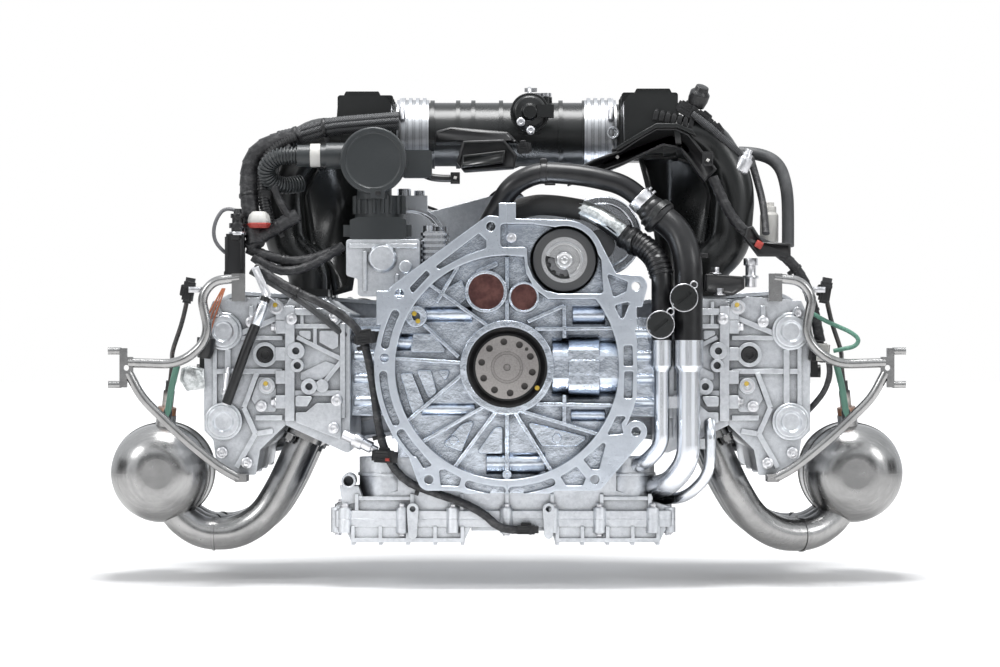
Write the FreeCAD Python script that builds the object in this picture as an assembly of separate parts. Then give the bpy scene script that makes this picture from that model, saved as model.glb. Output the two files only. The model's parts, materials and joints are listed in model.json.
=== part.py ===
"""A horizontally opposed six-cylinder car engine, seen on its gearbox end.

Millimetres. +X is to the right, looking at the gearbox flange, +Z is up, and +Y runs along the crankshaft
from the gearbox flange to the belt drive. The origin is on the crankshaft's axis, in the plane of the
gearbox flange. "u" is a distance from the middle plane, counted outwards on either bank.
"""
import FreeCAD
import Part
import math
import os

V = FreeCAD.Vector
ALONG_X = V(1, 0, 0)
ALONG_Y = V(0, 1, 0)
ALONG_Z = V(0, 0, 1)
LEFT = -1
RIGHT = 1
BANKS = {LEFT: "left", RIGHT: "right"}

# Driving dimensions of the engine
BORE = 102.0
STROKE = 77.5
ROD_LENGTH = 140.0
BORE_PITCH = 118.0
THROW_PITCH = BORE_PITCH / 2
FIRST_CYLINDER = {RIGHT: 128.0, LEFT: 128.0 + THROW_PITCH}
DECK = 216.0
CASE_START = 62.0
CASE_END = 472.0
CASE_HALF_HEIGHT = 98.0
SUMP_FACE = -124.0
CAM_U = 390.0
CAM_ZS = {"intake": 49.0, "exhaust": -75.0}
HEAD_START = {RIGHT: 70.0, LEFT: 80.0}
HEAD_END = CASE_END
COVER_U = 305.0
HEAD_FOOT = (222.0, -118.0)
COVER_FOOT_Z = -80.0
PORT_SLOPE = (COVER_FOOT_Z - HEAD_FOOT[1]) / (COVER_U - HEAD_FOOT[0])
PORT_U = 280.0
PORT = (PORT_U, HEAD_FOOT[1] + (PORT_U - HEAD_FOOT[0]) * PORT_SLOPE)
PORT_TILT = math.degrees(math.atan(PORT_SLOPE))
CHAIN_ROWS = {LEFT: CASE_END + 5, RIGHT: CASE_END + 17}
CHAIN_W = 8.0
CHAIN_COVER_T = 36.0
CAM_SPROCKET_R = 48.0
CRANK_SPROCKET_R = 24.0
NOSE_R = 20.0

# Gearbox flange and bell
FLANGE_T = 24.0
BELL_R = 180.0
RECESS_R = 152.0
FLOOR_Y = 52.0
RIB_Y = 17.0
RIB_W = 5.0
HUB_R = 64.0
HUB_Y = 15.0
SEAL_R = 55.0
BOLT_HOLE_R = 6.25
LOBE_R = 15.0
STARTER = (78.0, 146.0)
BELL_BOTTOM = -171.0
BELL_RIGHT = 176.0
BELL_BOLTS = {
    "top": (-22.0, 191.0),
    "upper_left": (-146.0, 100.0),
    "left": (-166.0, 13.0),
    "low_left": (-106.0, -152.0),
    "low_right": (119.0, -152.0),
    "right_low": (175.0, -87.0),
    "right_high": (175.0, 110.0),
}
PLUG_LARGE = (-28.5, 103.0, 24.3, 28.7)
PLUG_SMALL = (23.0, 95.5, 17.8, 20.9)

# Crankshaft
MAIN_R = 30.0
PIN_R = 27.0
JOURNAL_W = 44.0
WEB_T = 7.5
FLANGE_R = 43.0
CRANK_FACE_Y = 11.0
CRANK_PCD = 70.0
CRANK_BOLTS = 10
CRANK_BOLT_R = 4.7
CRANK_BOLT_START = 25.0
CRANK_BAY_R = 74.0
RUNNING = 0.05

# Belt drive, in the plane BELT_Y: place and radius of each pulley, and the side of the belt that it touches
BELT_Y = 532.0
BELT_W = 24.0
BELT_T = 4.0
BELT_GAP = 0.3
PULLEYS = {
    "crank": (0.0, 0.0, 76.0, 1),
    "alternator": (140.0, 190.0, 29.0, 1),
    "idler": (0.0, 232.0, 33.0, -1),
    "compressor": (-140.0, 180.0, 58.0, 1),
    "tensioner": (-216.0, 66.0, 33.0, -1),
    "water_pump": (-152.0, -42.0, 52.0, 1),
}

# Intake
INLET_U = (262.0, 298.0)
RUNNER_R = 27.0
CROSS_Y = 330.0
CROSS_Z = 334.0
CROSS_R = 46.0
CROSS_HALF = 118.0
THROTTLE_Y = 405.0
FLAP_X = 57.0
LEVER = 24.0

# Exhaust, starter and the coolant run beside the bell
CATALYST = (488.0, -150.0, 69.0, 138.0, 352.0)
PRIMARY_R = 22.5
HOSE_Y = 32.0

# Oil sump
SUMP_FRONT = 64.0
SUMP_BACK = 402.0
RIM_LEFT = -236.0
RIM_RIGHT = 226.0
RIM_Z = -208.0
RIM_T = 11.0
PAN_FLOOR = -240.0

parts = {}


def box(x0, x1, y0, y1, z0, z1):
    return Part.makeBox(x1 - x0, y1 - y0, z1 - z0, V(x0, y0, z0))


def rod_y(x, z, r, y0, y1):
    """A cylinder along Y."""
    return Part.makeCylinder(r, y1 - y0, V(x, y0, z), ALONG_Y)


def rod_x(x0, x1, y, z, r):
    """A cylinder along X."""
    return Part.makeCylinder(r, x1 - x0, V(x0, y, z), ALONG_X)


def rod_z(x, y, r, z0, z1):
    """A cylinder along Z."""
    return Part.makeCylinder(r, z1 - z0, V(x, y, z0), ALONG_Z)


def rod(a, b, r):
    """A cylinder from point a to point b."""
    return Part.makeCylinder(r, (b - a).Length, a, b - a)


def joined(shapes):
    shapes = list(shapes)
    return shapes[0].fuse(shapes[1:]).removeSplitter() if len(shapes) > 1 else shapes[0]


def group(shapes):
    """Separate pieces in one node."""
    return Part.makeCompound(list(shapes))


def corner_arc(before, at, after, radius):
    """The two tangent points and the middle of the arc that rounds the corner at."""
    to_before = (before - at).normalize()
    to_after = (after - at).normalize()
    half = to_before.getAngle(to_after) / 2
    reach = radius / math.tan(half)
    middle = at + (to_before + to_after).normalize() * (radius / math.sin(half) - radius)
    return at + to_before * reach, middle, at + to_after * reach


def outline_face(points, radii):
    """A flat face with the points as its corners, each rounded to its own radius."""
    count = len(points)
    corners = []
    for i, at in enumerate(points):
        around = (points[i - 1], at, points[(i + 1) % count])
        corners.append(corner_arc(*around, radii[i]) if radii[i] else (at, at, at))
    edges = []
    for i, (start, middle, end) in enumerate(corners):
        following = corners[(i + 1) % count][0]
        if radii[i]:
            edges.append(Part.Arc(start, middle, end).toShape())
        if (following - end).Length > 1e-6:
            edges.append(Part.makeLine(end, following))
    return Part.Face(Part.Wire(edges))


def plate(outline, y0, y1, radius=0.0):
    """An outline of (x, z) points, its corners rounded, from y0 to y1."""
    points = [V(x, y0, z) for x, z in outline]
    return outline_face(points, [radius] * len(points)).extrude(V(0, y1 - y0, 0))


def turned(x, z, profile):
    """A body turned about a line along Y through (x, z), from corners of (radius, y, rounding)."""
    points = [V(x + r, y, z) for r, y, _ in profile]
    return outline_face(points, [rounding for _, _, rounding in profile]).revolve(V(x, 0, z), ALONG_Y, 360)


def ring_y(x, z, outer, inner, y0, y1):
    """A flat ring about a line along Y."""
    return rod_y(x, z, outer, y0, y1).cut(rod_y(x, z, inner, y0 - 1, y1 + 1))


def circle_places(x, z, r, count, start=0.0):
    """Places spread evenly on a circle, as (x, z) points."""
    angles = [start + 2 * math.pi * i / count for i in range(count)]
    return [(x + r * math.cos(a), z + r * math.sin(a)) for a in angles]


def slab(outline, z0, z1, radius=0.0):
    """An outline of (x, y) points, its corners rounded, from z0 to z1."""
    points = [V(x, y, z0) for x, y in outline]
    return outline_face(points, [radius] * len(points)).extrude(V(0, 0, z1 - z0))


def bar(a, b, width, y0, y1):
    """A straight rib between two (x, z) points."""
    along = V(b[0] - a[0], 0, b[1] - a[1]).normalize()
    side = V(-along.z, 0, along.x) * (width / 2)
    ends = [V(a[0], y0, a[1]), V(b[0], y0, b[1])]
    corners = [ends[0] + side, ends[1] + side, ends[1] - side, ends[0] - side]
    return Part.Face(Part.makePolygon(corners + corners[:1])).extrude(V(0, y1 - y0, 0))


def tangent(a, b, ra, rb, side):
    """Ends of the line that touches two circles on the same side, as (x, z) points."""
    gap = math.hypot(b[0] - a[0], b[1] - a[1])
    turn = math.atan2(b[1] - a[1], b[0] - a[0]) + side * math.acos((ra - rb) / gap)
    way = (math.cos(turn), math.sin(turn))
    return [(p[0] + way[0] * r, p[1] + way[1] * r) for p, r in ((a, ra), (b, rb))]


def web(a, ra, b, rb, y0, y1):
    """Two round ends and all that lies between them."""
    left = tangent(a, b, ra, rb, 1)
    right = tangent(a, b, ra, rb, -1)
    middle = plate([left[0], left[1], right[1], right[0]], y0, y1)
    return joined([middle, rod_y(*a, ra, y0, y1), rod_y(*b, rb, y0, y1)])


def arc_slot(radius, width, start_deg, end_deg, y0, y1):
    """A slot that follows a circle about the crankshaft."""
    half = width / 2

    def at(r, deg):
        return V(r * math.cos(math.radians(deg)), y0, r * math.sin(math.radians(deg)))

    middle = (start_deg + end_deg) / 2
    cap = math.degrees(half / radius)
    edges = [
        Part.Arc(at(radius + half, start_deg), at(radius + half, middle), at(radius + half, end_deg)),
        Part.Arc(at(radius + half, end_deg), at(radius, end_deg + cap), at(radius - half, end_deg)),
        Part.Arc(at(radius - half, end_deg), at(radius - half, middle), at(radius - half, start_deg)),
        Part.Arc(at(radius - half, start_deg), at(radius, start_deg - cap), at(radius + half, start_deg)),
    ]
    return Part.Face(Part.Wire([e.toShape() for e in edges])).extrude(V(0, y1 - y0, 0))


def smooth_path(points, share=0.45):
    """Straight runs joined by tangent arcs, each as large as its two runs allow."""
    points = [V(*p) for p in points]
    edges = []
    previous = points[0]
    for i in range(1, len(points) - 1):
        before, at, after = points[i - 1], points[i], points[i + 1]
        reach = share * min((at - before).Length, (after - at).Length)
        half = (before - at).getAngle(after - at) / 2
        start, middle, end = corner_arc(before, at, after, reach * math.tan(half))
        edges.append(Part.makeLine(previous, start))
        edges.append(Part.Arc(start, middle, end).toShape())
        previous = end
    edges.append(Part.makeLine(previous, points[-1]))
    return Part.Wire(edges)


def swept(points, r, share=0.45):
    path = smooth_path(points, share)
    start = V(*points[0])
    ring = Part.Wire(Part.makeCircle(r, start, V(*points[1]) - start))
    return path.makePipeShell([ring], True, False)


def on_side(shape, side):
    """The shape as drawn for the right-hand bank, or its mirror image for the left."""
    return shape if side == RIGHT else shape.mirror(V(0, 0, 0), ALONG_X)


def cylinder_places(side):
    return [FIRST_CYLINDER[side] + BORE_PITCH * i for i in range(3)]


def hex_bolt(x, y, z, r, head, away):
    """A hexagon head with its washer face, standing out along away."""
    tip = V(x, y, z)
    points = [V(r * math.cos(i * math.pi / 3), r * math.sin(i * math.pi / 3), 0) for i in range(7)]
    head_solid = Part.Face(Part.makePolygon(points)).extrude(V(0, 0, head))
    washer = Part.makeCylinder(r * 1.15, 1.6)
    bolt = head_solid.translated(V(0, 0, 1.6)).fuse(washer)
    bolt.Placement = FreeCAD.Placement(tip, FreeCAD.Rotation(ALONG_Z, away))
    return bolt


def band(pulleys, thickness, gap, y0, y1):
    """A closed belt round circles of (x, z, r, side). Side 1 is inside the loop, -1 presses on it."""
    wires = []
    for offset in (gap, gap + thickness):
        rounds = []
        for x, z, r, side in pulleys:
            reach = r + offset if side > 0 else r + 2 * gap + thickness - offset
            rounds.append((x, z, reach * side))
        lines = []
        for i, (x, z, r) in enumerate(rounds):
            nx, nz, nr = rounds[(i + 1) % len(rounds)]
            gap_to_next = math.hypot(nx - x, nz - z)
            turn = math.atan2(nz - z, nx - x) - math.acos((r - nr) / gap_to_next)
            way = V(math.cos(turn), 0, math.sin(turn))
            lines.append((V(x, y0, z) + way * r, V(nx, y0, nz) + way * nr, way))
        edges = []
        for i, (start, end, way) in enumerate(lines):
            x, z, r = rounds[(i + 1) % len(rounds)]
            next_start, _, next_way = lines[(i + 1) % len(lines)]
            edges.append(Part.makeLine(start, end))
            bulge = (way + next_way).normalize() * r
            if r > 0 and (way.cross(next_way)).y > 0:
                bulge = bulge * -1
            edges.append(Part.Arc(end, V(x, y0, z) + bulge, next_start).toShape())
        wires.append(Part.Wire(edges))
    outer, inner = (Part.Face(w) for w in reversed(wires))
    return outer.cut(inner).extrude(V(0, y1 - y0, 0))


def bell_outside():
    """The bell's outline: a disc, a lobe at each gearbox bolt and the bulge round the starter."""
    b = BELL_BOLTS
    order = ["top", "upper_left", "left", "low_left", "low_right", "right_low"]
    shapes = [rod_y(0, 0, BELL_R, 0, FLANGE_T)]
    shapes += [web(b[p], LOBE_R, b[q], LOBE_R, 0, FLANGE_T) for p, q in zip(order, order[1:])]
    shapes.append(web(b["right_high"], LOBE_R, (122.0, 90.0), 40.0, 0, FLANGE_T))
    shapes.append(web(STARTER, 54.0, (122.0, 90.0), 40.0, 0, FLANGE_T))
    shapes.append(web(STARTER, 54.0, (4.0, 180.0), 22.0, 0, FLANGE_T))
    shapes.append(web(b["top"], LOBE_R, (4.0, 180.0), 22.0, 0, FLANGE_T))
    shapes.append(web(b["right_high"], LOBE_R, (160.0, 60.0), 17.0, 0, FLANGE_T))
    shapes.append(box(-11, 12, 0, FLANGE_T, 185, 223))
    shapes.append(box(-177, -150, 0, FLANGE_T, 58, 104))
    whole = joined(shapes)
    whole = whole.cut(box(-300, 300, -1, FLANGE_T + 1, BELL_BOTTOM - 60, BELL_BOTTOM))
    return whole.cut(box(BELL_RIGHT, BELL_RIGHT + 60, -1, FLANGE_T + 1, -54, 82))


def bell_back():
    """The bell's wall behind the flange lip, down to the crankcase."""
    shapes = [rod_y(0, 0, RECESS_R + 9, FLANGE_T, CASE_START)]
    shapes.append(web(STARTER, 53.0, (4.0, 176.0), 22.0, FLANGE_T, CASE_START))
    shapes.append(web(STARTER, 53.0, (110.0, 80.0), 40.0, FLANGE_T, CASE_START))
    shapes += [rod_y(x, z, LOBE_R - 2, FLANGE_T, FLANGE_T + 14) for x, z in BELL_BOLTS.values()]
    return joined(shapes)


def bell_recesses():
    """What is hollow in front of the bell's floor: the flywheel's round space and the starter's chamber."""
    starter_wall = [(22, 185), (22, 160), (26, 128), (38, 106), (56, 93), (190, 93), (190, 185)]
    round_space = rod_y(0, 0, RECESS_R, -1, FLOOR_Y).cut(plate(starter_wall, -2, FLOOR_Y + 1, 3))
    chamber = [
        (-9, 195), (34, 195), (92, 186), (113, 172), (128, 146), (131, 100),
        (70, 100), (50, 105), (35, 122), (28, 140), (27, 163), (-9, 163),
    ]
    return [round_space, plate(chamber, -1, FLOOR_Y - 14, 5)]


def rim_pockets():
    """Lightening pockets in the flange face, between its bolts."""
    slots = [
        (168, 11, 154.5, 169.5), (168, 11, 183.5, 206), (169, 12, 212, 223),
        (167, 11, 252, 267.5), (167, 11, 272.5, 291),
    ]
    pockets = [arc_slot(*slot, -1, 17) for slot in slots]
    outlines = [
        [(-134, -104), (-119, -112), (-101, -133), (-113, -137)],
        [(-92, -139), (-84, -138), (-62, -150), (-65, -161), (-90, -160)],
        [(72, -148), (94, -134), (107, -150), (103, -160), (80, -160)],
        [(103, -125), (130, -102), (134, -104), (125, -138), (114, -138)],
        [(135, -92), (148, -66), (163, -66), (155, -76), (158, -90)],
        [(158, 2), (171, 2), (170, 30), (158, 30)],
        [(158, -42), (170, -42), (171, -5), (159, -5)],
        [(135, 128), (164, 116), (162, 103), (144, 95)],
        [(-132, 108), (-128, 100), (-104, 126), (-109, 132)],
        [(-98, 136), (-92, 133), (-56, 152), (-28, 162), (-28, 172), (-38, 182)],
    ]
    pockets += [plate(points, -1, 17, 2.5) for points in outlines]
    pockets.append(plate([(145, 84), (168, 90), (156, 62)], -1, FLANGE_T + 1, 3))
    return pockets


def bell_ribs():
    """Ribs, bosses and half-round galleries that stand on the bell's floor."""
    ribs = [
        ((-24, 55), (-106, 113)), ((-66, 14), (-113, 58)), ((-62, 6), (-153, 12)),
        ((-60, -9), (-134, -72)), ((-32, -54), (-116, -102)), ((-15, -60), (-72, -137)),
        ((0, -60), (0, -152)), ((10, -60), (60, -141)), ((14, -58), (123, -91)),
        ((40, -50), (146, -52)), ((38, 52), (146, 53)), ((28, 62), (78, 84)), ((78, 84), (78, 40)),
        ((78, -38), (78, -78)), ((-96, 88), (-66, 138)), ((0, 64), (0, 150)),
    ]
    shapes = [bar(a, b, RIB_W, RIB_Y, FLOOR_Y + 1) for a, b in ribs]
    galleries = [
        (62, 152, 0, 40), (84, 126, 0, 44), (90, 134, 71, 13), (88, 134, -66, 9),
        (-116, -44, -58, 9), (-112, -48, 72, 11), (-28, 52, -132, 15), (-150, -112, 34, 12),
    ]
    for x0, x1, z, r in galleries:
        round_part = rod_x(x0, x1, FLOOR_Y + 4, z, r)
        shapes.append(round_part.common(box(x0, x1, RIB_Y + 2, FLOOR_Y + 1, z - r, z + r)))
    pads = [
        ([(-146, -8), (-130, -8), (-112, -52), (-128, -66)], 30),
        ([(-124, -4), (-104, -4), (-96, -34), (-106, -44)], 36),
        ([(-96, -4), (-78, -4), (-84, -20)], 40),
        ([(-62, -78), (-44, -72), (-62, -116), (-88, -106)], 40),
        ([(26, -74), (112, -96), (94, -108), (48, -108)], 40),
        ([(-16, -82), (-6, -82), (-6, -118), (-42, -118)], 42),
        ([(-128, 46), (-100, 46), (-82, 20), (-132, 20)], 42),
        ([(-88, 104), (-62, 120), (-52, 96), (-66, 84)], 38),
        ([(84, -10), (126, -10), (126, 10), (84, 10)], 13),
        ([(-44, 132), (-12, 146), (-12, 138), (-40, 126)], 30),
    ]
    shapes += [plate(points, y, FLOOR_Y + 1, 3) for points, y in pads]
    bosses = [
        (-123.5, 69, 14.5, 12), (-73, -100, 6, 34), (68, -97, 6, 34), (0, -146, 6, 14), (6, 176, 7, 12),
    ]
    shapes += [rod_y(x, z, r, y, FLOOR_Y + 1) for x, z, r, y in bosses]
    for x, z, _, boss in (PLUG_LARGE, PLUG_SMALL):
        shapes.append(rod_y(x, z, boss, RIB_Y - 4, FLOOR_Y + 1))
    shapes.append(rod_y(0, 0, HUB_R, HUB_Y, FLOOR_Y + 1))
    within = rod_y(0, 0, RECESS_R + 2, 0, FLOOR_Y + 1)
    return [joined(shapes).common(within)]


def crank_space():
    """The crankshaft's tunnel: a wide bay at each throw, and a bearing seat in each wall between."""
    cuts = [rod_y(0, 0, SEAL_R, 0, 30), rod_y(0, 0, MAIN_R + RUNNING, 0, CASE_END + 1)]
    cuts.append(rod_y(0, 0, FLANGE_R + 1, 29, 42))
    for i in range(6):
        middle = FIRST_CYLINDER[RIGHT] + THROW_PITCH * i
        half = (THROW_PITCH - 15) / 2
        cuts.append(rod_y(0, 0, CRANK_BAY_R, middle - half, middle + half))
    return cuts


def case_block(side):
    """One crankcase half behind the bell, with its three cylinders open to the deck and to the crank."""
    body = box(0, 158, CASE_START - 10, CASE_END, -CASE_HALF_HEIGHT, CASE_HALF_HEIGHT)
    first, *_, last = cylinder_places(side)
    bank = box(150, DECK, max(first - 62, CASE_START), min(last + 62, CASE_END), -68, 68)
    solids = [body, bank]
    for i in range(4):
        z = -48 + 32 * i
        solids.append(rod_x(150, DECK - 4, max(first - 60, CASE_START), z, 7))
    for i in range(7):
        y = CASE_START + 26 + 59 * i
        solids.append(box(10, 158, y - 4, y + 4, CASE_HALF_HEIGHT, CASE_HALF_HEIGHT + 9))
    solids.append(box(0, 150, CASE_START + 2, 408, SUMP_FACE, -CASE_HALF_HEIGHT))
    solids.append(box(0, 12, CASE_START - 8, CASE_END, -CASE_HALF_HEIGHT - 14, CASE_HALF_HEIGHT + 14))
    solids.append(box(146, 158, CASE_START - 8, CASE_END, 60, CASE_HALF_HEIGHT + 9))
    block = on_side(joined(solids), side)
    for y in cylinder_places(side):
        block = block.cut(on_side(rod_x(60, DECK + 1, y, 0, BORE / 2), side))
    return block


def crankcase():
    """The two halves meet on the middle plane. Each carries half of the bell."""
    bell = joined([bell_outside(), bell_back()]).cut(bell_recesses())
    bell = joined([bell] + bell_ribs())
    cuts = rim_pockets() + crank_space()
    cuts += [rod_y(x, z, BOLT_HOLE_R, -1, FLANGE_T + 20) for x, z in BELL_BOLTS.values()]
    cuts += [rod_y(x, z, r, 0, FLOOR_Y - 2) for x, z, r, _ in (PLUG_LARGE, PLUG_SMALL)]
    cuts.append(rod_y(*STARTER, 46, -1, CASE_START + 1))
    cuts.append(rod_y(-123.5, 69, 5.5, 0, 40))
    bell = bell.cut(cuts)
    for side, name in BANKS.items():
        half = box(0, 260, -5, 600, -300, 300) if side == RIGHT else box(-260, 0, -5, 600, -300, 300)
        block = case_block(side).cut(crank_space())
        shape = joined([bell.common(half), block])
        parts[f"crankcase_{name}"] = shape
    seal = rod_y(0, 0, SEAL_R, 18, 29).cut(rod_y(0, 0, FLANGE_R + RUNNING, 17, 30))
    dish = Part.makeCone(SEAL_R - 3, FLANGE_R + 3, 5, V(0, 18, 0), ALONG_Y)
    parts["main_seal"] = seal.cut(dish)
    parts["core_plugs"] = group(
        rod_y(x, z, r, RIB_Y, FLOOR_Y - 2).cut(rod_y(x, z, r - 3, RIB_Y - 1, RIB_Y + 2))
        for x, z, r, _ in (PLUG_LARGE, PLUG_SMALL)
    )


def throw_angle(i):
    """Opposed throws stand half a turn apart, and the three pairs a third of a turn."""
    return 120.0 * (i // 2) + 180.0 * (i % 2)


def crankshaft():
    first = FIRST_CYLINDER[RIGHT]
    shapes = [rod_y(0, 0, FLANGE_R, CRANK_FACE_Y, 40), rod_y(0, 0, MAIN_R, 39, 113)]
    for i in range(6):
        middle = first + THROW_PITCH * i
        angle = math.radians(throw_angle(i))
        pin = (STROKE / 2 * math.cos(angle), STROKE / 2 * math.sin(angle))
        shapes.append(rod_y(*pin, PIN_R, middle - 14.5, middle + 14.5))
        for y in (middle - 11 - WEB_T, middle + 11):
            shapes.append(web((0, 0), MAIN_R + 6, pin, PIN_R + 4, y, y + WEB_T))
        shapes.append(rod_y(0, 0, MAIN_R, middle + 11 + WEB_T - 1, middle + THROW_PITCH - 10 - WEB_T))
    nose = first + 5 * THROW_PITCH + 18
    shapes.append(rod_y(0, 0, MAIN_R, nose, CASE_END + 2))
    shapes.append(rod_y(0, 0, NOSE_R, CASE_END, BELT_Y + 12))
    for row in CHAIN_ROWS.values():
        shapes.append(sprocket(0, 0, CRANK_SPROCKET_R, 18, row, row + CHAIN_W))
    crank = joined(shapes)
    ring = rod_y(0, 0, 22, CRANK_FACE_Y - 1, CRANK_FACE_Y + 2).cut(rod_y(0, 0, 17.5, 0, 20))
    holes = []
    for i in range(CRANK_BOLTS):
        angle = math.radians(CRANK_BOLT_START + 360 / CRANK_BOLTS * i)
        x, z = CRANK_PCD / 2 * math.cos(angle), CRANK_PCD / 2 * math.sin(angle)
        holes.append(rod_y(x, z, CRANK_BOLT_R, CRANK_FACE_Y - 1, CRANK_FACE_Y + 20))
    dowel = math.radians(43)
    holes.append(rod_y(36.5 * math.cos(dowel), 36.5 * math.sin(dowel), 2.5, 0, CRANK_FACE_Y + 8))
    holes.append(rod_y(0, 0, 5, CRANK_FACE_Y - 1, CRANK_FACE_Y + 3))
    parts["crankshaft"] = crank.cut(holes + [ring])


def piston_pin_u(index, side):
    """Distance of the gudgeon pin from the crankshaft, from the throw's place at rest."""
    angle = throw_angle(index) + (180 if side == LEFT else 0)
    along = STROKE / 2 * math.cos(math.radians(angle))
    across = STROKE / 2 * math.sin(math.radians(angle))
    return along + math.sqrt(ROD_LENGTH**2 - across**2)


def pistons():
    crown = 36.0
    skirt = 22.0
    r = BORE / 2 - 0.08
    for index in range(6):
        side = RIGHT if index % 2 == 0 else LEFT
        y = FIRST_CYLINDER[RIGHT] + THROW_PITCH * index
        pin = piston_pin_u(index, side)
        body = rod_x(pin - skirt, pin + crown, y, 0, r)
        body = body.cut(rod_x(pin - skirt - 1, pin + crown - 9, y, 0, r - 7))
        bosses = [box(pin - 14, pin + crown - 6, y + s * 30 - 9, y + s * 30 + 9, -16, 16) for s in (-1, 1)]
        body = body.fuse([b.common(rod_x(0, 300, y, 0, r - 1)) for b in bosses])
        for groove in (6, 12, 19):
            ring = rod_x(pin + crown - groove - 1.5, pin + crown - groove, y, 0, r + 1)
            body = body.cut(ring.cut(rod_x(0, 300, y, 0, r - 1)))
        flats = [box(pin - skirt - 1, pin + 6, y + s * 52 - 8, y + s * 52 + 8, -30, 30) for s in (-1, 1)]
        body = body.cut(flats + [rod_y(pin, 0, 11, y - 60, y + 60)])
        name = f"piston_{index + 1}"
        parts[name] = on_side(group([body, rod_y(pin, 0, 11, y - 36, y + 36)]), side)


def head_profile():
    return [
        (DECK, 74), (DECK, -118), HEAD_FOOT, (COVER_U, COVER_FOOT_Z), (COVER_U, 84),
        (300, 94), (250, 94), (236, 84),
    ]


def tilted(shape):
    """A shape drawn below z = 0, moved onto the sloping exhaust face of the right-hand head."""
    turned = shape.copy()
    slope = FreeCAD.Placement(V(PORT[0], 0, PORT[1]), FreeCAD.Rotation(ALONG_Y, -PORT_TILT))
    turned.Placement = slope.multiply(turned.Placement)
    return turned


def head_front(y0):
    """Ribs, pads and bosses cast on the gearbox end of the right-hand head."""
    face = y0 + 2
    ribs = [
        ((302, 56), (224, 56), 6, 7), ((289, 41), (226, 10), 6, 7), ((226, 10), (252, -22), 6, 7),
        ((226, 60), (226, -70), 7, 8), ((226, -36), (300, -36), 7, 8), ((264, 54), (264, 30), 5, 6),
        ((230, 76), (294, 76), 9, 9), ((246, 90), (246, 58), 5, 6), ((282, 90), (282, 58), 5, 6),
    ]
    bosses = [
        (290, 22, 12, 14), (288, 2, 9, 16), (272, -27, 11, 14), (254, -26, 9, 12), (238, 68, 11, 10),
        (234, -46, 8, 12), (296, 66, 8, 12), (238, -84, 8, 14),
    ]
    pads = [
        ([(228, -50), (262, -50), (276, -62), (290, -62), (290, -76), (228, -100)], 13),
        ([(266, -40), (290, -40), (290, -54), (274, -54)], 20),
        ([(232, 50), (258, 50), (258, 34), (240, 24), (232, 28)], 5),
        ([(270, 50), (286, 50), (286, 44), (270, 36)], 5),
        ([(232, 2), (256, -18), (284, -18), (284, -8), (250, 8)], 4),
    ]
    shapes = [bar(a, b, width, y0 - depth, face) for a, b, width, depth in ribs]
    shapes += [rod_y(x, z, r, y0 - depth, face) for x, z, r, depth in bosses]
    shapes += [plate(points, y0 - depth, face, 2.5) for points, depth in pads]
    shapes.append(plate([(292, -74), (COVER_U, -74), (COVER_U, 84), (292, 84)], y0 - 10, face))
    return shapes


def cylinder_heads():
    inlet_0, inlet_1 = INLET_U
    middle = (inlet_0 + inlet_1) / 2
    for side, name in BANKS.items():
        y0, y1 = HEAD_START[side], HEAD_END
        body = plate(head_profile(), y0, y1, 3)
        ports = [box(inlet_0 - 8, COVER_U - 1, y - 30, y + 30, 88, 98) for y in cylinder_places(side)]
        head = joined([body] + head_front(y0) + ports)
        cuts = [rod_y(x, z, 5, y0 - 17, y0 + 6) for x, z in ((290, 22), (288, 2), (272, -27))]
        for y in cylinder_places(side):
            cuts.append(rod_x(DECK - 1, DECK + 9, y, 0, BORE / 2 - 4))
            cuts.append(rod_x(DECK + 8, COVER_U + 1, y, 0, 11))
            cuts.append(box(inlet_0 + 4, inlet_1 - 4, y - 21, y + 21, 66, 99))
            cuts.append(rod(V(middle, y, 70), V(240, y, 20), 14))
            cuts.append(tilted(rod_z(0, y, 19, -1, 24)))
        parts[f"cylinder_head_{name}"] = on_side(head.cut(cuts), side)


def cover_profile(grow=0.0):
    """Outline of a cam cover, or of the rims that stand proud of it by grow."""
    return [
        (COVER_U, 84), (COVER_U, COVER_FOOT_Z), (340, -114), (346, -146 - grow), (386, -146 - grow),
        (398 + grow, -128), (402 + grow, -100), (414 + grow, -88), (414 + grow, 62),
        (402 + grow, 88 + grow), (330, 94 + grow),
    ]


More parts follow.
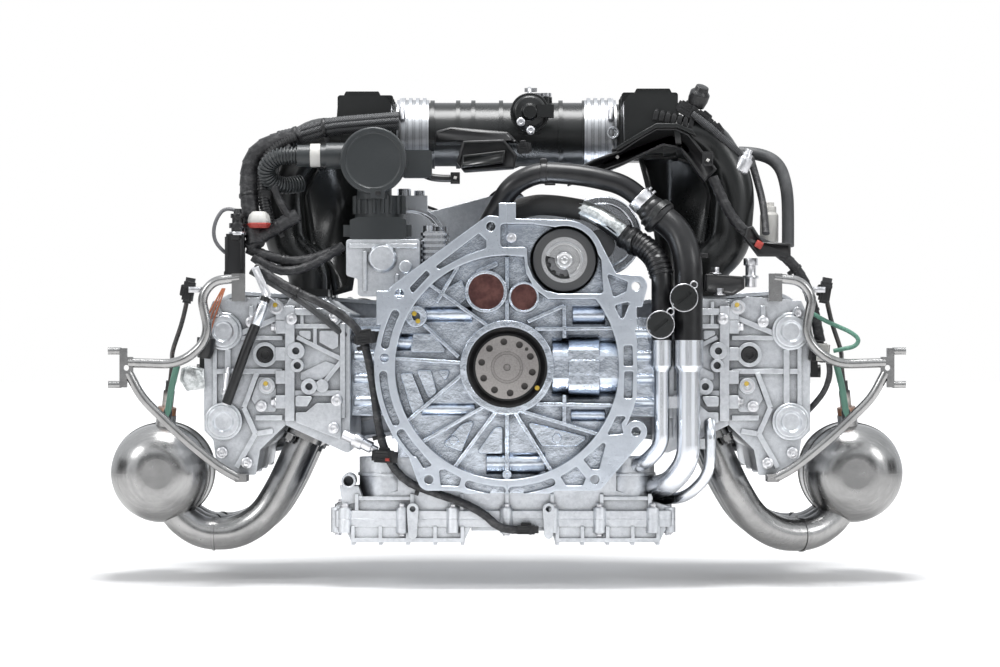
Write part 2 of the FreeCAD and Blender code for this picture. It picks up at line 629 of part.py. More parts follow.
def cover_front(y0):
    """What stands on the gearbox end of the right-hand cam cover."""
    face = y0 + 2
    ribs = [
        ((COVER_U + 4, 70), (372, 44), 7, 7), ((COVER_U + 4, 40), (366, 40), 6, 6),
        ((COVER_U + 4, -6), (400, -6), 7, 7), ((384, 24), (384, -50), 8, 9), ((344, -8), (362, -56), 7, 8),
        ((362, -56), (346, -92), 7, 8), ((346, -92), (372, -138), 7, 8), ((322, -88), (346, -92), 7, 7),
        ((COVER_U + 4, -70), (346, -70), 7, 7), ((352, 84), (352, 62), 6, 7), ((402, 60), (402, -84), 6, 6),
    ]
    bosses = [
        (333, 17, 17, 8), (330, -26, 11, 14), (317, 82, 10, 14), (352, 62, 8, 8), (392, -118, 8, 10),
        (358, -132, 7, 10), (400, 74, 8, 10), (338, -54, 8, 9),
    ]
    shapes = [bar(a, b, width, y0 - depth, face) for a, b, width, depth in ribs]
    shapes += [rod_y(x, z, r, y0 - depth, face) for x, z, r, depth in bosses]
    shapes += [plate([(COVER_U, z - 9), (318, z - 9), (318, z + 9), (COVER_U, z + 9)], y0 - 12, face)
               for z in (-48, -14, 18, 55, 74)]
    shapes.append(plate([(318, -14), (342, -14), (352, -44), (340, -62), (318, -62)], y0 - 4, face, 4))
    for z in CAM_ZS.values():
        shapes.append(turned(CAM_U, z, [(0, face, 0), (26, face, 0), (26, y0 - 10, 2), (22, y0 - 10, 0),
                                        (22, y0 - 14, 2), (0, y0 - 14, 0)]))
        hollow = turned(CAM_U, z, [(0, y0 - 15, 0), (16, y0 - 15, 0), (12, y0 - 11, 2), (0, y0 - 11, 0)])
        shapes[-1] = shapes[-1].cut(hollow)
    return shapes


def cam_covers():
    for side, name in BANKS.items():
        y0, y1 = HEAD_START[side] + 2, HEAD_END
        places = cylinder_places(side)
        shapes = [plate(cover_profile(), y0, y1, 4)] + cover_front(y0)
        shapes += [plate(cover_profile(3), y0 + y, y0 + y + 7, 3) for y in (0, 118, 236, 380)]
        shapes += [rod_x(400, 421, y, 0, 19) for y in places]
        cover = joined(shapes)
        wells = joined(rod_x(COVER_U - 2, 450, y, 0, 18) for y in places)
        cuts = [rod_y(333, 17, 12, y0 - 9, y0 + 12)]
        for z in CAM_ZS.values():
            cuts.append(rod_y(CAM_U, z, 21, y0 + 10, y1 - 8).cut(wells))
            cuts.append(rod_y(CAM_U, z, 12 + RUNNING, y0 + 4, y1 + 1))
        cuts += [rod_x(COVER_U - 1, 450, y, 0, 12.5) for y in places]
        cuts.append(box(COVER_U - 1, 374, y0 + 12, y1 - 10, -68, 64).cut(wells))
        parts[f"cam_cover_{name}"] = on_side(cover.cut(cuts), side)
    coils = []
    for side in BANKS:
        for y in cylinder_places(side):
            stem = joined([rod_x(330, 421, y, 0, 11), box(421, 431, y - 17, y + 17, -14, 14),
                           box(423, 429, y - 10, y + 10, 12, 36), rod_x(421, 436, y, -6, 9)])
            coils.append(on_side(stem, side))
    parts["ignition_coils"] = group(coils)


def sprocket(x, z, r, teeth, y0, y1):
    """A toothed wheel: round notches cut in a disc leave its teeth."""
    step = 2 * math.pi / teeth
    notches = [
        rod_y(x + r * math.cos(i * step), z + r * math.sin(i * step), r * step * 0.28, y0 - 1, y1 + 1)
        for i in range(teeth)
    ]
    return rod_y(x, z, r, y0, y1).cut(notches)


def camshafts():
    """A pair of lobes for every cylinder, a third of a turn on from the last pair."""
    for side, name in BANKS.items():
        y0 = HEAD_START[side] + 2
        row = CHAIN_ROWS[side]
        for job, z in CAM_ZS.items():
            shapes = [rod_y(CAM_U, z, 12, y0 + 5, row + CHAIN_W + 1)]
            for i, y in enumerate(cylinder_places(side)):
                angle = math.radians(120 * i + (200 if job == "intake" else 100))
                nose = (CAM_U + 7 * math.cos(angle), z + 7 * math.sin(angle))
                shapes += [web((CAM_U, z), 15, nose, 11, y + dy - 6, y + dy + 6) for dy in (-20, 20)]
            shapes.append(sprocket(CAM_U, z, CAM_SPROCKET_R, 36, row, row + CHAIN_W))
            wheel_holes = [
                rod_y(CAM_U + 29 * math.cos(a), z + 29 * math.sin(a), 8, row - 1, row + CHAIN_W + 1)
                for a in (0.3, 1.56, 2.81, 4.07, 5.33)
            ]
            parts[f"{job}_camshaft_{name}"] = on_side(joined(shapes).cut(wheel_holes), side)


def timing_pan(shrink, y0, y1):
    """The cover's four-lobed outline: webs from the crankshaft out to the camshafts and between them."""
    cams = [(s * CAM_U, z) for s in (-1, 1) for z in CAM_ZS.values()]
    shapes = [web((0, 0), 82 - shrink, cam, 60 - shrink, y0, y1) for cam in cams]
    shapes += [web(cams[i], 60 - shrink, cams[i + 1], 60 - shrink, y0, y1) for i in (0, 2)]
    return joined(shapes)


def timing_drive():
    """A chain to each bank, in two rows, behind one wide pan-shaped cover."""
    y0, y1 = CASE_END, CASE_END + CHAIN_COVER_T
    wall = 6
    top, bottom = CAM_ZS["intake"], CAM_ZS["exhaust"]
    for side, name in BANKS.items():
        row = CHAIN_ROWS[side]
        loop = [(0, 0, CRANK_SPROCKET_R, 1)] + [(CAM_U, z, CAM_SPROCKET_R, 1) for z in (bottom, top)]
        parts[f"timing_chain_{name}"] = on_side(band(loop, 5, 0.6, row + 1, row + CHAIN_W - 1), side)
    shapes = [timing_pan(0, y0, y1).cut(timing_pan(wall, y0 - 1, y1 - wall)), rod_y(0, 0, 44, y1 - 7, y1 + 6)]
    bolt_places = []
    for s in (-1, 1):
        for z in (top, bottom):
            shapes.append(bar((s * 60, z * 0.16), (s * 346, z), 6, y1 - 1, y1 + 5))
            shapes.append(rod_y(s * CAM_U, z, 32, y1 - 1, y1 + 6))
            bolt_places.append((s * (CAM_U + 55), z))
        bolt_places.append((s * (CAM_U + 55), (top + bottom) / 2))
        for share in (0.2, 0.4, 0.6, 0.8, 1.0):
            edge = 79 - 24 * share
            bolt_places.append((s * CAM_U * share, top * share + edge))
            bolt_places.append((s * CAM_U * share, bottom * share - edge))
    shapes += [hex_bolt(x, y1, z, 6, 4, ALONG_Y) for x, z in bolt_places]
    parts["timing_cover"] = joined(shapes).cut(rod_y(0, 0, NOSE_R + RUNNING, y0, y1 + 30))


def sump_section(drop):
    """The sump's outline across the engine, drawn in by drop for its inside."""
    left, right = RIM_LEFT + drop, RIM_RIGHT - drop
    return [
        (left, RIM_Z - 1), (left, -192 - drop), (-184 + drop, -178 - drop), (-150 + drop, -170 - drop),
        (-150 + drop, SUMP_FACE), (150 - drop, SUMP_FACE), (150 - drop, -170 - drop),
        (176 - drop, -178 - drop), (right, -192 - drop), (right, RIM_Z - 1),
    ]


def sump_rim(z0, z1):
    front, back = SUMP_FRONT - 10, SUMP_BACK + 8
    return slab([(RIM_LEFT, front), (RIM_RIGHT, front), (RIM_RIGHT, back), (RIM_LEFT, back)], z0, z1, 8)


def sump_bosses(z0, z1):
    """The rim's bolt bosses, along its front edge and down both sides."""
    bosses = [rod_z(x, SUMP_FRONT - 8, 9, z0, z1) for x in (-222, -143, -74, -1, 62, 127, 200)]
    sides = (RIM_LEFT + 4, RIM_RIGHT - 4)
    return bosses + [rod_z(x, y, 10, z0, z1) for x in sides for y in (72, 180, 290, 392)]


def upper_sump():
    """It spreads from the crankcase to a wide rim, with a round tower at either front corner."""
    wall = 8.0
    front, back = SUMP_FRONT, SUMP_BACK
    above = box(-300, 300, 0, 500, RIM_Z, 0)
    inside = plate(sump_section(wall), front + wall, back - wall).common(above)
    shell = plate(sump_section(0), front, back).common(above)
    solids = [shell, sump_rim(RIM_Z, RIM_Z + RIM_T)] + sump_bosses(RIM_Z, RIM_Z + RIM_T + 4)
    solids += [bar((x, -200), (x, -174), 5, front - 8, front + 2) for x in (-206, -130, -62, 0, 62, 130, 196)]
    solids += [bar((x, -180), (x + 72, -180), 5, front - 6, front + 2) for x in (-204, 128)]
    for y in (150, 240, 330):
        solids.append(plate([(-228, -196), (-160, -172), (-160, -186), (-214, -200)], y - 3, y + 3))
        solids.append(plate([(218, -196), (160, -172), (160, -186), (206, -200)], y - 3, y + 3))
    solids.append(rod_y(-217, -156, 10, front - 14, front + 40))
    solids.append(plate([(-230, -163), (-204, -163), (-196, -184), (-226, -190)], front - 2, front + 36))
    hollows = [inside, rod_y(-217, -156, 7, front - 20, front + 30)]
    for x, r in ((-164.0, 40.0), (166.0, 38.0)):
        solids += [rod_z(x, front + r, r, -190, SUMP_FACE - 0.5), rod_z(x, front + r, r + 2, -150, -146)]
        hollows.append(rod_z(x, front + r, r - 7, -196, SUMP_FACE - 7))
    return joined(solids).cut(hollows)


def lower_sump():
    """Two ribbed pans under one rim, with a raised floor between them."""
    front, back = SUMP_FRONT, SUMP_BACK
    foot = RIM_Z - RIM_T
    raised, wall = -225.0, 6.0
    rib_count = 5
    solids = [sump_rim(foot, RIM_Z)] + sump_bosses(foot - 8, RIM_Z)
    solids.append(plate([(-49, foot + 1), (-49, raised), (57, raised), (57, foot + 1)], front + 2, back - 2))
    hollows = [box(-212, 204, front + 4, back - 8, raised + wall, RIM_Z + 1)]
    for x0, x1 in ((-225.0, -47.0), (55.0, 221.0)):
        outline = [(x0, foot + 1), (x0 + 3, foot - 2), (x0 + 12, PAN_FLOOR), (x1 - 12, PAN_FLOOR),
                   (x1 - 3, foot - 2), (x1, foot + 1)]
        solids.append(plate(outline, front - 8, back + 4, 2.5))
        for i in range(rib_count):
            x = x0 + 14 + (x1 - x0 - 28) * i / (rib_count - 1)
            solids.append(bar((x, PAN_FLOOR + 2), (x, foot + 1), 5, front - 13, front - 6))
            solids.append(box(x - 2.5, x + 2.5, front - 4, back, PAN_FLOOR - 4, PAN_FLOOR + 2))
        solids.append(bar((x0 + 12, PAN_FLOOR + 3), (x1 - 12, PAN_FLOOR + 3), 6, front - 13, front - 6))
        hollows.append(box(x0 + 20, x1 - 20, front, back - 6, PAN_FLOOR + wall, foot + 4))
    for x in (-129.0, 57.0):
        solids.append(web((x, RIM_Z + 14), 8, (x, foot - 10), 6, front - 20, front - 12))
        solids.append(bar((x, RIM_Z), (x, foot - 12), 10, front - 16, front - 6))
        hollows.append(rod_y(x, RIM_Z + 14, 4, front - 30, front))
    plug = hex_bolt(120, 232, PAN_FLOOR + 1, 13, 8, ALONG_Z * -1)
    return joined(solids).cut(hollows + [parts["oil_sump_upper"]]).fuse(plug)


def oil_sump():
    parts["oil_sump_upper"] = upper_sump()
    parts["oil_sump_lower"] = lower_sump()


def catalyst():
    """A turned can with a domed front and a cone to its outlet flange, with its hollow."""
    x, z, r, y0, y1 = CATALYST
    outlet, flange = 28.0, 44.0
    outside = turned(x, z, [
        (0, y0, 0), (r, y0, 48), (r, y1 - 36, 26), (outlet, y1 - 4, 6), (outlet, y1 + 30, 0),
        (flange, y1 + 30, 1.5), (flange, y1 + 38, 1.5), (0, y1 + 38, 0),
    ])
    beads = [rod_y(x, z, r + 1.5, y, y + 5) for y in (y0 + 62, y1 - 74)]
    inside = turned(x, z, [
        (0, y0 + 2, 0), (r - 2, y0 + 2, 46), (r - 2, y1 - 37, 24), (outlet - 2, y1 - 5, 6),
        (outlet - 2, y1 + 39, 0), (0, y1 + 39, 0),
    ])
    return joined([outside] + beads), inside


def primary_path(y, meet):
    """A primary's centre line, from its port down under the head and out into the catalyst."""
    x, z, _, _, _ = CATALYST
    down = V(math.sin(math.radians(PORT_TILT)), 0, -math.cos(math.radians(PORT_TILT)))
    top = V(PORT[0], y, PORT[1]) + down

    def towards(share):
        return y + (meet - y) * share

    return [
        top, top + down * 84, V(342, towards(0.12), -212), V(382, towards(0.35), -236),
        V(430, towards(0.7), -236), V(468, towards(0.95), -208), V(x, meet, z),
    ]


def header(side):
    places = cylinder_places(side)
    shell, hollow = catalyst()
    first, last = places[0] - 34, places[2] + 34
    flange = [tilted(slab([(-26, first), (26, first), (26, last), (-26, last)], -11, -0.05, 12))]
    solids, holes = [shell], [hollow]
    for y, meet in zip(places, (190.0, 238.0, 286.0)):
        path = primary_path(y, meet)
        solids.append(swept(path, PRIMARY_R))
        holes.append(swept(path, PRIMARY_R - 2))
        along = path[4] - path[3]
        ring = path[3] + along * 0.6
        solids.append(rod(ring, ring + along.normalize() * 3, PRIMARY_R + 1.5))
    corners = [(y, s, t) for y in places for s, t in ((-1, 1), (1, -1))]
    studs = [tilted(rod_z(s * 19, y + t * 27, 5, -24, -1)) for y, s, t in corners]
    nuts = [tilted(hex_bolt(s * 19, y + t * 27, -11, 9, 8, ALONG_Z * -1)) for y, s, t in corners]
    foot, axis = sensor_seat()
    boss = rod(foot, foot + axis * 22, 14)
    outer = joined(solids + flange + [boss])
    outer = outer.cut(holes + [rod(foot - axis * 20, foot + axis * 23, 8)])
    return outer.fuse(studs + nuts).removeSplitter()


def sensor_seat():
    """Where the oxygen sensor screws into the catalyst's dome, and the way it points."""
    x, z, r, y0, _ = CATALYST
    axis = V(-0.12, -0.1, 1).normalize()
    return V(x, y0 + 50, z) + axis * (r - 8), axis


def oxygen_sensors():
    sensors = []
    foot, axis = sensor_seat()
    for side, name in BANKS.items():
        body = joined([
            rod(foot + axis * 2, foot + axis * 23, 7.9), rod(foot + axis * 22.2, foot + axis * 33, 13),
            rod(foot + axis * 33, foot + axis * 56, 8), rod(foot + axis * 56, foot + axis * 70, 6),
        ])
        route = [foot + axis * 66, foot + axis * 96, V(466, 128, 20), V(448, 92, 62), V(438, 66, 98)]
        lead = swept(route, 3.2)
        sensor = on_side(joined([body, lead]), side)
        sensors.append(sensor.cut(parts[f"exhaust_header_{name}"]))
    return group(sensors)


def exhaust_hangers():
    """Bent tubes that carry a silencer's eye plate, bolted to the gearbox end of each cam cover."""
    r = 6.5
    hangers = []
    for side, name in BANKS.items():
        reach = HEAD_START[side] + 12
        upper = swept([
            (366, 44, 122), (402, 44, 118), (418, 44, 96), (406, 44, 40), (446, 47, 4), (518, 50, 6),
        ], r)
        lower = swept([(518, 50, -8), (500, 49, -42), (444, 46, -96), (392, 44, -138), (366, 44, -152)], r)
        eye = [box(512, 530, 45, 55, -16, 14), box(520, 530, 45, 55, -28, 26)]
        eye += [rod_x(528, 546, 50, z, 5) for z in (22, -24)]
        feet = [box(358, 376, 38, reach, 90, 99), box(358, 376, 38, 48, 90, 128),
                box(356, 372, 38, reach, -157, -146)]
        hanger = joined([upper, lower] + eye + feet).cut(rod_y(521, -1, 4, 40, 70))
        hangers.append(on_side(hanger, side).cut(parts[f"cam_cover_{name}"]))
    return group(hangers)


def exhaust():
    """Three primaries to a bank, curling below the head into a domed catalyst, on one flange plate."""
    for side, name in BANKS.items():
        parts[f"exhaust_header_{name}"] = on_side(header(side), side)
    parts["oxygen_sensors"] = oxygen_sensors()
    parts["exhaust_hangers"] = exhaust_hangers()


def starter():
    """The nose reaches through the bell's wall; pinion and drive slide forward to meet the flywheel."""
    x, z = STARTER
    behind = CASE_START + 14
    motor = turned(x, z, [
        (0, 16, 0), (42.8, 16, 1), (42.8, CASE_START, 0), (47.5, CASE_START, 1), (47.5, behind, 1),
        (38, behind, 0), (38, 120, 0), (38.8, 120, 0), (38.8, 123, 0), (38, 123, 0), (38, 226, 3),
        (34, 226, 0), (34, 234, 3), (0, 234, 0),
    ])
    solenoid = turned(x + 50, z + 22, [
        (0, behind, 0), (21, behind, 1), (21, 176, 4), (8, 176, 0), (8, 190, 2), (0, 190, 0),
    ])
    ear = web((x - 44, z + 30), 12, (x, z), 30, CASE_START, CASE_START + 12)
    body = joined([motor, solenoid, ear]).cut(rod_y(x, z, 29, 12, 60))
    disc = turned(x, z, [
        (0, 10, 0), (11, 10, 1.5), (11, 16, 0), (21, 16, 0), (21, 14, 0.8), (25, 14, 0.8), (25, 16, 0),
        (30, 16, 0), (30, 19, 0), (0, 19, 0),
    ])
    sector = plate([(x, z), (x - 60, z + 14), (x - 44, z - 60), (x + 16, z - 52)], 8, 34)
    window = sector.common(ring_y(x, z, 26, 13, 8, 40))
    parts["starter_motor"] = joined([body, disc]).cut(window)
    parts["starter_pinion"] = sprocket(x, z, 22, 11, 38, 52).cut(rod_y(x, z, 9 + RUNNING, 30, 60))
    parts["starter_drive"] = turned(x, z, [
        (0, 33, 0), (9, 33, 1), (9, 52.2, 0), (18, 52.2, 1), (18, 59, 1), (0, 59, 0),
    ])


def coolant_pipes():
    """Three bent aluminium pipes that leave the bell's right side and turn under it."""
    y = HOSE_Y
    small = [(211, y, 20), (211, y, -106), (192, y + 8, -128), (168, 96, -140)]
    large = [(247.5, y, 20), (247.5, y, -126), (226, y + 16, -158), (190, 104, -172)]
    third = [(278, 57, -76), (278, 44, -90), (278, 46, -146), (246, 66, -180), (196, 130, -184)]
    flared = [rod_z(211, y, 15, 2, 37), Part.makeCone(10.5, 15, 8, V(211, y, -6)),
              rod_z(247.5, y, 20.5, 2, 37), Part.makeCone(16, 20.5, 8, V(247.5, y, -6))]
    straps = [box(211, 250, y - 3, y + 3, -56, -40), box(250, 280, 41, 46, -112, -98),
              box(244, 252, 36, 46, -112, -98)]
    pipes = joined([swept(small, 10.5), swept(large, 16), swept(third, 8)] + flared + straps)
    bores = [swept(small, 8.5), swept(large, 13.5), rod_z(211, y, 14, 6, 38), rod_z(247.5, y, 19.4, 6, 38)]
    beside = [parts["oil_sump_upper"], parts["crankcase_right"], parts["cylinder_head_right"]]
    pipes = pipes.cut(bores + beside)
    return max(pipes.Solids, key=lambda solid: solid.Volume)


def bleed_cap(x, z):
    """A slotted, notched cap on the stub at (x, z)."""
    cap = turned(x, z, [(0, -4, 0), (18, -4, 1.5), (18, 5, 1), (15, 5, 0), (15, 9, 1), (0, 9, 0)])
    slot = box(x - 12, x + 12, -5, -1, z - 2.5, z + 2.5).rotate(V(x, 0, z), ALONG_Y, -40)
    notches = [rod_y(px, pz, 2.4, -5, 6) for px, pz in circle_places(x, z, 18.5, 12)]
    return cap.cut([slot] + notches)


def cooling():
    """Two aluminium pipes beside the bell, hoses up from them, and capped bleed stubs."""
    y = HOSE_Y
    caps = {"large": (239.8, 94.5), "small": (208.0, 58.0)}
    bend = (200, 62, 214)
    thick = [(247.5, y, 6.1), (247.5, y, 146), (236, y + 14, 186), bend]
    thin = [
        bend, (164, 66, 250), (104, 66, 264), (44, 66, 268), (6, 66, 250), (-14, 80, 216), (-30, 110, 190),
    ]
    slim = [(211, y, 6.1), (211, y, 128), (202, y + 10, 156), (170, y + 26, 172)]
    sleeve = [
        (170, y + 26, 172), (140, 62, 196), (112, 78, 214), (64, 84, 222), (26, 96, 222), (10, 130, 206),
    ]
    hoses = {
        "large": ((thick, 19.4, 15.4), (thin, 14.5, 11.0), Part.makeSphere(20.5, V(*bend))),
        "small": ((slim, 14.0, 10.5), (sleeve, 12.0, 9.5), Part.makeSphere(14.5, V(*sleeve[0]))),
    }
    parts["coolant_pipes"] = coolant_pipes()
    outsides = []
    for name, (first, second, knuckle) in hoses.items():
        x, z = caps[name]
        runs = [swept(first[0], first[1]), swept(second[0], second[1])]
        outside = joined(runs + [knuckle, rod_y(x, z, 13, 8, y)])
        bores = [swept(first[0], first[2]), swept(second[0], second[2]), rod_y(x, z, 10, 7, y)]
        parts[f"coolant_hose_{name}"] = outside.cut(bores)
        outsides.append(outside)
    clamps = [
        ((213, 55.5, 205), (206, 59, 210.4), 23.5), ((196, 62.4, 218), (188, 63.4, 226), 18),
        ((178, 54, 170), (172, 57.4, 171), 18.5), ((166, 58.6, 175), (160, 59, 180), 16.5),
    ]
    fittings = [rod(V(*a), V(*b), r) for a, b, r in clamps] + [bleed_cap(x, z) for x, z in caps.values()]
    parts["hose_fittings"] = group(f.cut(outsides) for f in fittings)


def oil_filter():
    """Filter base, oil cooler and the round breather separator over the left half of the crankcase."""
    case = parts["crankcase_left"]
    base = joined([
        plate([(-206, 98), (-120, 98), (-120, 176), (-222, 176), (-222, 126), (-206, 122)], 92, 168, 4),
        plate([(-128, 98), (-76, 98), (-76, 132), (-92, 142), (-128, 142)], 112, 190, 4),
        turned(-172, 150, [(0, 82, 0), (17, 82, 2), (20, 88, 0), (20, 100, 0), (0, 100, 0)]),
        turned(-140, 138, [(0, 82, 0), (9, 82, 2), (9, 100, 0), (0, 100, 0)]),
        bar((-218, 167), (-124, 167), 6, 88, 94), bar((-196, 104), (-196, 160), 5, 88, 94),
        bar((-152, 104), (-152, 128), 5, 88, 94),
    ])
    parts["oil_filter_base"] = base.cut(case)
    x, z, r = -183.5, 284.0, 46.0
    can = turned(x, z, [
        (0, 68, 0), (r - 8, 68, 3), (r - 7, 66, 1), (r, 66, 3), (r, 80, 2), (r - 4, 80, 0), (r - 4, 150, 4),
        (30, 154, 2), (30, 164, 2), (0, 164, 0),
    ])
    neck = joined([rod_z(x, 110, 24, 232, 262), rod_z(-177.5, 126, 33.5, 203, 214)])
    tray = plate([(-217, 176), (-139, 176), (-139, 203), (-150, 207), (-206, 207), (-217, 203)], 92, 160, 3)
    collar = rod_z(-177.5, 126, 34, 212, 237)
    ridges = [rod_z(px, py, 3, 212, 237) for px, py in circle_places(-177.5, 126, 34, 18)]
    ears = [box(-226, -214, 96, 110, 180, 196), box(-142, -132, 96, 110, 180, 196),
            box(-188, -168, 66, 74, 232, 246)]
    arm = plate([(-146, 262), (-104, 262), (-104, 300), (-146, 300)], 100, 130, 5)
    stub = joined([rod_x(-290, -214, 104, 292, 15), rod_x(-250, -214, 104, 292, 18)])
    parts["oil_separator"] = joined([can, neck, tray, collar, arm, stub] + ridges + ears).cut(
        rod_x(-300, -226, 104, 292, 12))
    outline = [(-120, 116), (-80, 116), (-80, 186), (-120, 186)]
    plates = [slab(outline, z, z + 4, 6) for z in range(142, 184, 8)]
    core = slab([(-117, 119), (-83, 119), (-83, 183), (-117, 183)], 140, 188, 5)
    ports = [rod_z(-108, 130, 9, 186, 196), rod_z(-92, 172, 9, 186, 196)]
    parts["oil_cooler"] = joined([core] + plates + ports).cut(parts["oil_filter_base"])


def runner_path(y):
    """A runner's centre line, from the plenum out and down to its port."""
    u = sum(INLET_U) / 2
    return [V(214, y, 318), V(276, y, 326), V(320, y, 258), V(312, y, 168), V(u, y, 138), V(u, y, 98)]


def manifold(side):
    places = cylinder_places(side)
    inlet_0, inlet_1 = INLET_U
    y0, y1 = places[0] - 20, places[2] + 26
    solids = [
        plate([(164, 296), (236, 296), (240, 330), (236, 380), (172, 380), (162, 368)], y0, y1, 10),
        plate([(176, 378), (230, 378), (226, 386), (180, 386)], y0 + 8, y1 - 8, 2),
        rod_x(150, 170, CROSS_Y, CROSS_Z, 44),
        plate([(300, 280), (334, 214), (322, 172), (314, 172), (322, 214), (292, 276)], y0 + 10, y1 - 20),
    ]
    holes = [
        plate([(169, 301), (231, 301), (235, 330), (231, 375), (176, 375), (167, 366)], y0 + 5, y1 - 5, 7),
        rod_x(140, 180, CROSS_Y, CROSS_Z, 39),
    ]
    for y in places:
        path = runner_path(y)
        solids += [swept(path, RUNNER_R), box(inlet_0 - 12, inlet_1 + 10, y - 32, y + 32, 98.05, 108)]
        solids.append(rod(path[0] + V(18, 0, 2), path[0] + V(26, 0, 3), RUNNER_R + 3))
        holes.append(swept(path, RUNNER_R - 5))
    count = 3
    solids += [plate([(161, 294), (240, 294), (240, 384), (161, 384)], y0 + 60 * i - 2, y0 + 60 * i + 2, 4)
               for i in range(1, count + 1)]
    return joined(solids).cut(holes)


def crossover():
    h = CROSS_HALF
    tube = [rod_x(-h, h, CROSS_Y, CROSS_Z, CROSS_R)]
    tube += [rod_x(x - 3, x + 3, CROSS_Y, CROSS_Z, CROSS_R + 3.5) for x in (-107, -70, -48, -8, 78, 112)]
    tube.append(turned(0, CROSS_Z, [(0, CROSS_Y, 0), (41, CROSS_Y, 0), (41, THROTTLE_Y - 8, 0),
                                    (47, THROTTLE_Y - 8, 1), (47, THROTTLE_Y, 1), (0, THROTTLE_Y, 0)]))
    tube.append(rod_z(FLAP_X, CROSS_Y, 9, CROSS_Z + 40, CROSS_Z + 54))
    tube.append(box(18, 48, 266, CROSS_Y, CROSS_Z - 2, CROSS_Z + 10))
    return joined(tube).cut([
        rod_x(-h - 1, h + 1, CROSS_Y, CROSS_Z, CROSS_R - 3), rod_y(0, CROSS_Z, 38, CROSS_Y, THROTTLE_Y + 1),
        rod_z(FLAP_X, CROSS_Y, 4 + RUNNING, CROSS_Z - 43.5, CROSS_Z + 60),
    ])


def crossover_sleeve():
    """The ribbed clamping sleeve between the crossover and the right-hand plenum."""
    h = CROSS_HALF
    rings = [rod_x(x, x + 5, CROSS_Y, CROSS_Z, 53) for x in (h - 2, h + 8, h + 18, h + 28)]
    sleeve = joined([rod_x(h - 6, 158, CROSS_Y, CROSS_Z, 50)] + rings)
    return sleeve.cut([
        rod_x(h - 20, h, CROSS_Y, CROSS_Z, CROSS_R), rod_x(149.9, 170, CROSS_Y, CROSS_Z, 44),
        rod_x(h - 10, 170, CROSS_Y, CROSS_Z, 41),
    ])


def throttle():
    """A butterfly in a round bore, its shaft in two bosses."""
    y = THROTTLE_Y
    shaft_y = y + 28
    body = turned(0, CROSS_Z, [
        (0, y, 0), (47, y, 1), (47, y + 10, 1), (43, y + 10, 1), (43, y + 48, 0), (45, y + 48, 1),
        (45, y + 52, 1), (43, y + 52, 0), (43, y + 78, 1), (0, y + 78, 0),
    ])
    gear_case = plate([(-62, CROSS_Z - 44), (-30, CROSS_Z - 44), (-30, CROSS_Z + 30), (-62, CROSS_Z + 30)],
                      y + 8, y + 48, 5)
    body = joined([body, gear_case, rod_x(34, 56, shaft_y, CROSS_Z, 12)])
    body = body.cut([rod_y(0, CROSS_Z, 37.2, y - 1, y + 80), rod_x(-58, 52, shaft_y, CROSS_Z, 5 + RUNNING)])
    disc = rod_y(0, CROSS_Z, 36.9, shaft_y - 1.2, shaft_y + 1.2).common(
        box(-36.6, 36.6, 0, 900, CROSS_Z - 50, CROSS_Z + 50))
    return body, joined([rod_x(-57, 51, shaft_y, CROSS_Z, 5), disc])


def resonance_drive():
    """The crossover's flap on an upright shaft, and the vacuum can whose bent rod turns it."""
    top = CROSS_Z + 55
    x, z, eye_z = FLAP_X - LEVER, CROSS_Z + 27, CROSS_Z + 64
    flap = joined([
        rod_x(FLAP_X - 1.2, FLAP_X + 1.2, CROSS_Y, CROSS_Z, 42.2),
        rod_z(FLAP_X, CROSS_Y, 4, CROSS_Z - 43, top + 2), rod_z(FLAP_X, CROSS_Y, 8, top, top + 5),
        box(x - 4, FLAP_X, CROSS_Y - 4, CROSS_Y + 4, top, top + 5),
        rod_z(x, CROSS_Y, 3, top + 3, top + 13),
    ])
    can = turned(x, z, [
        (0, 226, 0), (10, 226, 2), (12, 236, 1), (23, 238, 5), (25, 247, 0), (28, 247, 1), (28, 252, 1),
        (25, 252, 0), (22, 262, 4), (0, 262, 0),
    ])
    bracket = box(x - 12, x + 12, 256, 276, z - 17, z - 12)
    can = joined([can, box(x + 10, x + 34, 228, 250, z - 8, z + 10), bracket])
    can = can.cut([rod_y(x, z, 3 + RUNNING, 240, 280), parts["intake_crossover"]])
    bend = [V(x, 256, z), V(x, 282, z), V(x, 284, eye_z), V(x, CROSS_Y - 7, eye_z)]
    eye = box(x - 7, x + 11, CROSS_Y - 8, CROSS_Y + 8, eye_z - 2, eye_z + 3)
    eye = eye.cut(box(x - 4, x + 8, CROSS_Y - 3.5, CROSS_Y + 3.5, eye_z - 3, eye_z + 5))
    return flap, can, joined([swept(bend, 3, 0.3), eye])


def intake():
    """Plenum and three curved runners to a bank, joined by the ribbed crossover."""
    for side, name in BANKS.items():
        parts[f"intake_manifold_{name}"] = on_side(manifold(side), side)
    parts["intake_crossover"] = crossover()
    parts["crossover_sleeves"] = group(
        on_side(crossover_sleeve(), side).cut(parts["intake_crossover"]) for side in BANKS)
    parts["throttle_body"], parts["throttle_flap"] = throttle()
    parts["resonance_flap"], parts["vacuum_actuator"], parts["vacuum_rod"] = resonance_drive()


